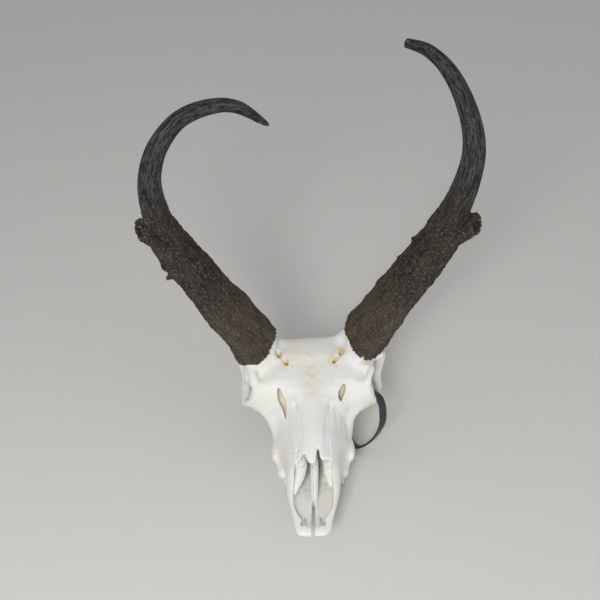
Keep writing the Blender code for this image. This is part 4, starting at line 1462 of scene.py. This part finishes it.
@dataclass
class CheekTeeth:
    """The two rows of cheek teeth, each tooth with its own size and wear."""

    front: float = 79.0
    sizes: Rows = (
        (8.2, 6.4, 1.6), (9.2, 8.2, 0.6), (9.6, 9.6, 0), (11.4, 11, 0), (12.6, 11.8, 0),
        (12.2, 10.6, 0.5),
    )
    ends: Pair = (27, 31.5)
    premolars: int = 3
    blend: float = 0.4
    voxel: float = 0.5

    def build(self, finish: Material) -> list[bpy.types.Object]:
        """Makes one object for each row.

        Args:
            finish: the material of the teeth.

        Returns:
            The rows' objects.
        """
        pieces = []
        length = sum(size[0] for size in self.sizes)
        for side in Side:
            low, high = (-42.0, self.front - 3.0, -1.0), (42.0, self.front + length + 3.0, 25.0)
            clay = Clay.empty(low, high, self.voxel)
            y = self.front
            for number, (depth, width, lift) in enumerate(self.sizes):
                share = (y + depth / 2 - self.front) / length
                x = side.value * float(np.interp(share, (0.0, 1.0), self.ends))
                lobes = 1 if number < self.premolars else 2
                clay.add((Tooth(side, (x, y + depth / 2), width, depth, lift, lobes), self.blend))
                y += depth
            surface = Surface.from_clay(clay)
            surface.soften(1, 0.4)
            surface.points[:, 2] = np.maximum(surface.points[:, 2], 0.0)
            pieces.append(PLACE.make(f"cheek_teeth_{side.word}", surface, finish))
        return pieces


@dataclass
class EyeBand:
    """The plain moulded band that hangs through the left orbit and round the bone below it.

    Each row of its line is a point of its closed middle line and the direction that its outer face
    looks in there.
    """

    line: tuple[tuple[Point, Point], ...] = (
        ((60.4, 147, 64.6), (0.28, 0.1, 0.95)), ((66.2, 136.6, 66.8), (0.41, -0.3, 0.86)),
        ((69.8, 131.2, 61.7), (0.59, -0.49, 0.64)), ((71.2, 126.9, 51.6), (0.61, -0.68, 0.41)),
        ((70.9, 124.9, 41.6), (0.66, -0.74, 0.13)), ((68.4, 123.1, 32.9), (0.7, -0.7, -0.16)),
        ((64, 122, 24.1), (0.68, -0.65, -0.33)), ((59, 121.2, 17.4), (0.57, -0.68, -0.46)),
        ((52.4, 121, 11.4), (0.43, -0.65, -0.63)), ((45.8, 124.2, 6.6), (0.1, -0.6, -0.79)),
        ((42.2, 131.4, 6), (-0.6, -0.4, -0.7)), ((40.6, 138.5, 8), (-0.95, -0.1, -0.3)),
        ((39.5, 146, 11), (-0.95, 0.15, -0.3)), ((37, 153.5, 18), (-0.8, 0.45, -0.4)),
        ((34.5, 159.5, 28.5), (-0.75, 0.6, -0.25)), ((35.5, 164, 40), (-0.7, 0.7, 0.1)),
        ((41, 166, 50), (-0.45, 0.7, 0.55)), ((50.5, 162.5, 58.5), (0, 0.5, 0.87)),
    )
    width: float = 9.4
    thickness: float = 2.1
    turns: int = 200
    profile_sides: int = 20

    def frames(self) -> list[tuple[Array, Array, Array]]:
        """Evenly spaced points of the middle line, each with its out and side axes."""
        table = np.array([(*spot, *unit(facing)) for spot, facing in self.line])
        closed = np.vstack([table[-3:], table, table[:3]])
        line, arc = smooth_path(closed, 1.0)
        inner = np.linalg.norm(line[:, :3] - table[0, :3], axis=1)
        half = len(line) // 2
        first, last = int(inner[:half].argmin()), half + int(inner[half:].argmin())
        at = np.linspace(arc[first], arc[last], self.turns, endpoint=False)
        rows = np.column_stack([np.interp(at, arc, line[:, k]) for k in range(6)])
        frames = []
        for i, row in enumerate(rows):
            tangent = unit(rows[(i + 1) % self.turns, :3] - rows[i - 1, :3])
            out = unit(row[3:] - tangent * tangent.dot(row[3:]))
            frames.append((row[:3], out, np.cross(tangent, out)))
        return frames

    def build(self, finish: Material) -> bpy.types.Object:
        """Makes the band.

        Args:
            finish: the material of the band.

        Returns:
            The band's object.
        """
        points, frames = [], self.frames()
        for middle, out, axis in frames:
            for corner in np.linspace(0.0, 2 * math.pi, self.profile_sides, endpoint=False):
                c, s = math.cos(corner), math.sin(corner)
                rise = self.thickness / 2 * math.copysign(abs(c) ** 0.6, c)
                side = self.width / 2 * math.copysign(abs(s) ** 0.45, s)
                points.append(middle + out * rise + axis * side)
        faces = []
        for i, k in product(range(self.turns), range(self.profile_sides)):
            j, n = (i + 1) % self.turns, (k + 1) % self.profile_sides
            corners = ((i, k), (i, n), (j, n), (j, k))
            faces.append([a * self.profile_sides + b for a, b in corners])
        surface = Surface(np.array(points), np.array(faces))
        normals = surface.normals()[:: self.profile_sides]
        if np.mean([normal @ out for normal, (_, out, _) in zip(normals, frames)]) < 0:
            surface.faces = surface.faces[:, ::-1]
        piece = PLACE.make("dressed_band", surface, finish)
        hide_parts("tag_band")
        return piece


Socket = bpy.types.NodeSocket


class Recipe:
    """A material and the nodes that make it."""

    def __init__(self, name: str) -> None:
        """Args:
        name: the material's name.
        """
        self.material = bpy.data.materials.new(name)
        self.material.use_nodes = True
        self.tree = self.material.node_tree
        self.shader = self.tree.nodes["Principled BSDF"]
        self.place = self.node("ShaderNodeTexCoord").outputs["Object"]

    def node(self, kind: str, inputs: dict | None = None, **settings) -> bpy.types.Node:
        """Adds a node.

        Args:
            kind: Blender's name for its kind.
            inputs: its sockets' names with a value or another node's output for each.
            settings: its properties.

        Returns:
            The new node.
        """
        node = self.tree.nodes.new(kind)
        for key, value in settings.items():
            setattr(node, key, value)
        for key, value in (inputs or {}).items():
            if isinstance(value, Socket):
                self.tree.links.new(value, node.inputs[key])
            else:
                node.inputs[key].default_value = value
        return node

    def mark(self, name: str, kind: str = "Fac") -> Socket:
        """The value that a surface carries under a name, or with kind Vector the vector."""
        return self.node("ShaderNodeAttribute", attribute_name=name).outputs[kind]

    def scaled(self, vector: Socket, scale: Point) -> Socket:
        """A vector stretched along the axes."""
        return self.node("ShaderNodeMapping", {"Vector": vector, "Scale": scale}).outputs["Vector"]

    def noise(self, vector: Socket, scale: float, detail: float = 3.0) -> Socket:
        """Soft noise from nought to one."""
        inputs = {"Vector": vector, "Scale": scale, "Detail": detail}
        return self.node("ShaderNodeTexNoise", inputs).outputs["Fac"]

    def share(self, value: Socket, low: float, high: float, most: float = 1.0) -> Socket:
        """Nought at low, the most at high and a smooth change between."""
        inputs = {"Value": value, 1: low, 2: high, 3: 0.0, 4: most}
        ramp = self.node("ShaderNodeMapRange", inputs, interpolation_type="SMOOTHSTEP")
        return ramp.outputs["Result"]

    def mix(self, share: Socket | float, first, second) -> Socket:
        """One colour turning into another."""
        node = self.node("ShaderNodeMix", data_type="RGBA")
        for number, value in ((0, share), (6, first), (7, second)):
            if isinstance(value, Socket):
                self.tree.links.new(value, node.inputs[number])
            else:
                node.inputs[number].default_value = value if number == 0 else (*value, 1.0)
        return node.outputs[2]

    def sum(self, first, second, operation: str = "ADD") -> Socket:
        """Two numbers added, or joined by another operation."""
        return self.node("ShaderNodeMath", {0: first, 1: second}, operation=operation).outputs[0]

    def bump(self, heights: list[tuple[Socket, float]], strength: float) -> Socket:
        """A bumpy normal from several heights in metres, one over another."""
        normal = None
        for height, distance in heights:
            inputs = {"Height": height, "Distance": distance, "Strength": strength}
            if normal is not None:
                inputs["Normal"] = normal
            normal = self.node("ShaderNodeBump", inputs).outputs["Normal"]
        return normal

    def set(self, **inputs) -> Material:
        """Sets the shader's sockets, with underscores for spaces in their names."""
        for key, value in inputs.items():
            socket = self.shader.inputs[key.replace("_", " ")]
            if isinstance(value, Socket):
                self.tree.links.new(value, socket)
            else:
                socket.default_value = value
        return self.material


Colour = tuple[float, float, float]


@dataclass(frozen=True)
class BoneFinish:
    """Bleached bone, with warm patches, painted shade in small hollows, pores and a fine grain
    along the snout.
    """

    white: Colour = (0.79, 0.805, 0.785)
    cream: Colour = (0.79, 0.765, 0.675)
    yellow: Colour = (0.72, 0.58, 0.34)
    tan: Colour = (0.36, 0.235, 0.11)

    def make(self) -> Material:
        """The material."""
        recipe = Recipe("bleached_bone")
        patches = recipe.share(recipe.noise(recipe.place, 38.0, 5.0), 0.42, 0.72)
        colour = recipe.mix(patches, self.white, self.cream)
        speckle = recipe.noise(recipe.place, 160.0, 4.0)
        stain = recipe.sum(recipe.mark("stain"), recipe.share(speckle, 0.3, 0.75, 0.9), "MULTIPLY")
        colour = recipe.mix(stain, colour, self.yellow)
        colour = recipe.mix(recipe.share(stain, 0.75, 1.5, 0.75), colour, self.tan)
        deep = recipe.share(recipe.mark("depth"), -2.2, -6.5, 0.85)
        colour = recipe.mix(deep, colour, self.yellow)
        # Painted shade: small hollows, creases and seams are darkened towards tan, as occlusion
        # would darken them.
        hollow = recipe.share(recipe.mark("hollow"), -0.35, -1.6, 0.7)
        colour = recipe.mix(hollow, colour, self.tan)
        pores = recipe.node("ShaderNodeTexVoronoi", {"Vector": recipe.place, "Scale": 620.0})
        open_pores = recipe.share(pores.outputs["Distance"], 0.16, 0.06)
        fibres = recipe.noise(recipe.scaled(recipe.place, (1.0, 0.12, 1.0)), 900.0, 2.0)
        swell = recipe.noise(recipe.place, 210.0, 4.0)
        normal = recipe.bump([(swell, 0.0005), (fibres, 0.00025), (open_pores, -0.0002)], 0.5)
        rough = recipe.share(swell, 0.2, 0.8, 0.16)
        return recipe.set(
            Base_Color=colour,
            Roughness=recipe.sum(rough, 0.46),
            Normal=normal,
            Subsurface_Weight=0.12,
            Subsurface_Radius=(0.004, 0.0025, 0.0015),
            Subsurface_Scale=0.6,
        )


@dataclass(frozen=True)
class ToothFinish:
    """Ivory enamel with brown stain in the grooves of the worn crowns."""

    enamel: Colour = (0.8, 0.76, 0.66)
    stain: Colour = (0.36, 0.26, 0.15)

    def make(self) -> Material:
        """The material."""
        recipe = Recipe("tooth_enamel")
        streaks = recipe.noise(recipe.scaled(recipe.place, (1.0, 1.0, 0.2)), 420.0, 4.0)
        colour = recipe.mix(recipe.share(streaks, 0.52, 0.8, 0.7), self.enamel, self.stain)
        normal = recipe.bump([(streaks, 0.0003)], 0.4)
        return recipe.set(Base_Color=colour, Roughness=0.32, Normal=normal)


@dataclass(frozen=True)
class HornFinish:
    """Dark horn: bark-like flecks below, grooved and greyer above, painted glints and shade, pale
    where broken.
    """

    dark: Colour = (0.009, 0.007, 0.006)
    brown: Colour = (0.036, 0.025, 0.019)
    olive: Colour = (0.066, 0.052, 0.034)
    fleck: Colour = (0.155, 0.132, 0.092)
    grey: Colour = (0.058, 0.058, 0.058)
    glint_silver: Colour = (0.115, 0.113, 0.11)
    pale: Colour = (0.27, 0.23, 0.17)

    def make(self) -> Material:
        """The material."""
        recipe = Recipe("horn")
        grain = recipe.mark("grain", "Vector")
        coarse = recipe.noise(recipe.scaled(grain, (0.14, 0.14, 0.06)), 1.0, 5.0)
        fine = recipe.noise(recipe.scaled(grain, (0.85, 0.85, 0.5)), 1.0, 4.0)
        streaks = recipe.noise(recipe.scaled(grain, (0.75, 0.75, 0.07)), 1.0, 5.0)
        mottle = recipe.noise(recipe.scaled(grain, (0.35, 0.35, 0.2)), 1.0, 4.0)
        clumps = recipe.share(coarse, 0.3, 0.72)
        middle = recipe.mix(clumps, self.dark, self.brown)
        base = recipe.mix(clumps, self.brown, self.olive)
        lower = recipe.mix(recipe.mark("base"), middle, base)
        flecks = recipe.share(fine, 0.5, 0.66, 0.8)
        flecks = recipe.sum(flecks, recipe.share(mottle, 0.34, 0.56), "MULTIPLY")
        lower = recipe.mix(flecks, lower, self.fleck)
        upper = recipe.mix(recipe.share(streaks, 0.42, 0.62), self.dark, self.grey)
        # Painted highlights: silver glints flecked over the smooth upper horn.
        painted_glints = recipe.share(fine, 0.48, 0.64, 0.7)
        painted_glints = recipe.sum(painted_glints, recipe.share(mottle, 0.46, 0.62), "MULTIPLY")
        upper = recipe.mix(painted_glints, upper, self.glint_silver)
        colour = recipe.mix(recipe.mark("bark"), upper, lower)
        # Painted shade: darker where the relief sinks deepest, between the bark's ridges and in the
        # pit of the broken prong.
        colour = recipe.mix(recipe.share(recipe.mark("relief"), -0.7, -1.7, 0.7), colour, self.dark)
        worn = recipe.sum(recipe.mark("broken"), recipe.mark("tip"), "MAXIMUM")
        spots = recipe.share(recipe.noise(recipe.place, 520.0, 4.0), 0.54, 0.66, 0.7)
        colour = recipe.mix(recipe.sum(worn, spots, "MULTIPLY"), colour, self.pale)
        normal = recipe.bump([(fine, 0.0009), (streaks, 0.0004)], 0.8)
        rough = recipe.sum(recipe.share(fine, 0.2, 0.8, 0.25), 0.5)
        return recipe.set(
            Base_Color=colour, Roughness=rough, Normal=normal, Specular_IOR_Level=0.28
        )


@dataclass(frozen=True)
class BandFinish:
    """Black moulded plastic with a faint scuff."""

    black: Colour = (0.022, 0.025, 0.028)
    scuff: Colour = (0.07, 0.075, 0.08)

    def make(self) -> Material:
        """The material."""
        recipe = Recipe("moulded_plastic")
        scuffs = recipe.noise(recipe.place, 380.0, 5.0)
        colour = recipe.mix(recipe.share(scuffs, 0.55, 0.8, 0.6), self.black, self.scuff)
        normal = recipe.bump([(recipe.noise(recipe.place, 2200.0, 2.0), 0.0001)], 0.4)
        rough = recipe.sum(recipe.share(scuffs, 0.3, 0.8, 0.2), 0.34)
        return recipe.set(Base_Color=colour, Roughness=rough, Normal=normal)


@dataclass(frozen=True)
class FloorFinish:
    """Plain pale floor."""

    colour: Colour = (0.72, 0.71, 0.69)

    def make(self) -> Material:
        """The material."""
        recipe = Recipe("pale_floor")
        speck = recipe.noise(recipe.place, 30.0, 2.0)
        darker = tuple(0.97 * c for c in self.colour)
        shade = recipe.mix(recipe.share(speck, 0.3, 0.7, 0.3), self.colour, darker)
        return recipe.set(Base_Color=shade, Roughness=0.8)


@dataclass(frozen=True)
class Lamp:
    """A square soft light that faces the skull, with its place and side in metres and its watts."""

    name: str
    place: Point
    side: float
    power: float
    aim: Point = (0.0, 0.0, 0.12)

    def hang(self) -> None:
        """Adds the light."""
        light = bpy.data.lights.new(self.name, "AREA")
        light.size = self.side
        light.energy = self.power
        lamp = linked(self.name, light)
        lamp.location = self.place
        aim = Vector(self.aim) - Vector(self.place)
        lamp.rotation_euler = aim.to_track_quat("-Z", "Y").to_euler()


@dataclass
class Studio:
    """The floor, the soft lights and the camera."""

    camera_from_snout: Point = (-11.5, -464.7, 661.9)
    camera_tilt: float = 52.0
    camera_roll: float = 1.1
    lens: float = 50.0
    sensor: float = 36.0
    aside: float = 1.0 / 600.0
    floor_half: float = 6.0
    room_light: float = 0.43
    lamps: tuple[Lamp, ...] = (
        Lamp("key", (-0.30, -1.15, 0.90), 0.40, 11.3),
        Lamp("fill", (1.2, -0.9, 0.5), 1.0, 3.0),
    )

    def build(self) -> None:
        """Sets the floor, the lights and the camera."""
        self.lay_floor()
        for lamp in self.lamps:
            lamp.hang()
        self.light_room()
        self.place_camera()

    def lay_floor(self) -> None:
        """A large plane under the teeth."""
        mesh = bpy.data.meshes.new("floor")
        half = self.floor_half
        corners = [(-half, -half, 0.0), (half, -half, 0.0), (half, half, 0.0), (-half, half, 0.0)]
        mesh.from_pydata(corners, [], [(0, 1, 2, 3)])
        mesh.materials.append(FloorFinish().make())
        linked("floor", mesh)

    def light_room(self) -> None:
        """Even white light from all round."""
        world = bpy.data.worlds.new("room")
        world.use_nodes = True
        background = world.node_tree.nodes["Background"]
        background.inputs["Color"].default_value = (1.0, 1.0, 1.0, 1.0)
        background.inputs["Strength"].default_value = self.room_light
        bpy.context.scene.world = world
        bpy.context.scene.view_settings.view_transform = "Standard"

    def place_camera(self) -> None:
        """Looks down on the skull from in front, from where the photograph was taken."""
        data = bpy.data.cameras.new("camera")
        data.lens = self.lens
        data.sensor_width = self.sensor
        data.shift_x = self.aside
        camera = linked("camera", data)
        place = Matrix.Translation(PLACE.metres(self.camera_from_snout))
        tilt = Matrix.Rotation(math.radians(self.camera_tilt), 4, "X")
        roll = Matrix.Rotation(math.radians(-self.camera_roll), 4, "Z")
        camera.matrix_world = place @ tilt @ roll
        bpy.context.scene.camera = camera


PLACE = Placement.from_frame()

SHAFT: Rows = (
    (0, 26, 18), (30, 25.5, 16.5), (70, 24, 14.8), (115, 23, 14.2), (145, 21, 14),
    (168, 15.2, 12.6),
)

SHEATHS = (
    HornSheath(
        side=Side.RIGHT,
        path=(
            (52.8, 164.5, 111), (75.5, 173.8, 147), (92, 180, 165.5), (108.7, 186, 186.5),
            (126, 189.5, 211.5), (135, 189, 229), (140, 186.5, 252), (141.8, 181, 276),
            (140, 176.3, 300), (131, 180.2, 326), (112, 192.9, 345.5), (86.7, 204.3, 352),
            (62, 211.4, 348.2), (35.1, 212.3, 329.7),
        ),
        sections=(
            *SHAFT, (215, 11.9, 10.8), (262, 9.2, 9), (300, 7.9, 7.6), (335, 6.3, 6.1),
            (352, 4.6, 4.4), (361, 3, 2.9), (364, 1.9, 1.8),
        ),
        prong_at=141,
        prong_length=38,
        prong_direction=(0.561, -0.485, 0.671),
        spurs=((114, -38, 6.5, 2.6), (126, -30, 2, 4), (50, -36, 4.6, 18)),
        rim_lift=((-180, 0), (-70, 0), (-25, 3), (12, 3), (28, -2), (60, -2.6), (85, 0), (180, 0)),
    ),
    HornSheath(
        side=Side.LEFT,
        path=(
            (52.8, 164.5, 111), (70, 172.5, 146), (89, 179.2, 173.6), (114.5, 185.8, 209.7),
            (125.5, 186.3, 232), (133, 184.2, 257), (139.4, 177.4, 292), (141.6, 178.6, 322),
            (135.4, 189.5, 350), (121.4, 209.5, 375.5), (104, 229.5, 388.2), (85.9, 243.5, 390.2),
        ),
        sections=(
            *SHAFT, (215, 12, 11), (255, 10, 9.4), (290, 8.4, 7.9), (325, 6.6, 6.4),
            (352, 5, 4.8),
        ),
        prong_at=132,
        prong_length=46.8,
        prong_direction=(0.613, -0.44, 0.656),
        spurs=(
            (131, 120, 3, 4), (60, 150, 1.6, 5), (20, 145, 4.6, 15), (92, 140, 2.2, 3),
            (116, 142, 3, 3),
        ),
        rim_lift=(
            (-180, 0), (-85, 0), (-45, 3.5), (-15, 2), (5, -3.6), (25, -4.6), (45, -3.6),
            (70, -2.4), (90, 0), (180, 0),
        ),
        front_trim=((0, 8.5), (12, 6.5), (26, 2.5), (40, 0)),
        blunt=True,
    ),
)


def main() -> None:
    """Builds every piece in order and sets them in the studio."""
    logging.basicConfig(level=logging.INFO, format="%(message)s")
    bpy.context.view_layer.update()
    bone, horn = BoneFinish().make(), HornFinish().make()
    made = {
        "bone": Skull().build(bone) + CheekTeeth().build(ToothFinish().make()),
        "horn": [sheath.build(horn) for sheath in SHEATHS],
        "band": [EyeBand().build(BandFinish().make())],
    }
    for slot, pieces in made.items():
        for piece in pieces:
            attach(piece, ROOT)
    Studio().build()


if __name__ == "__main__":
    main()
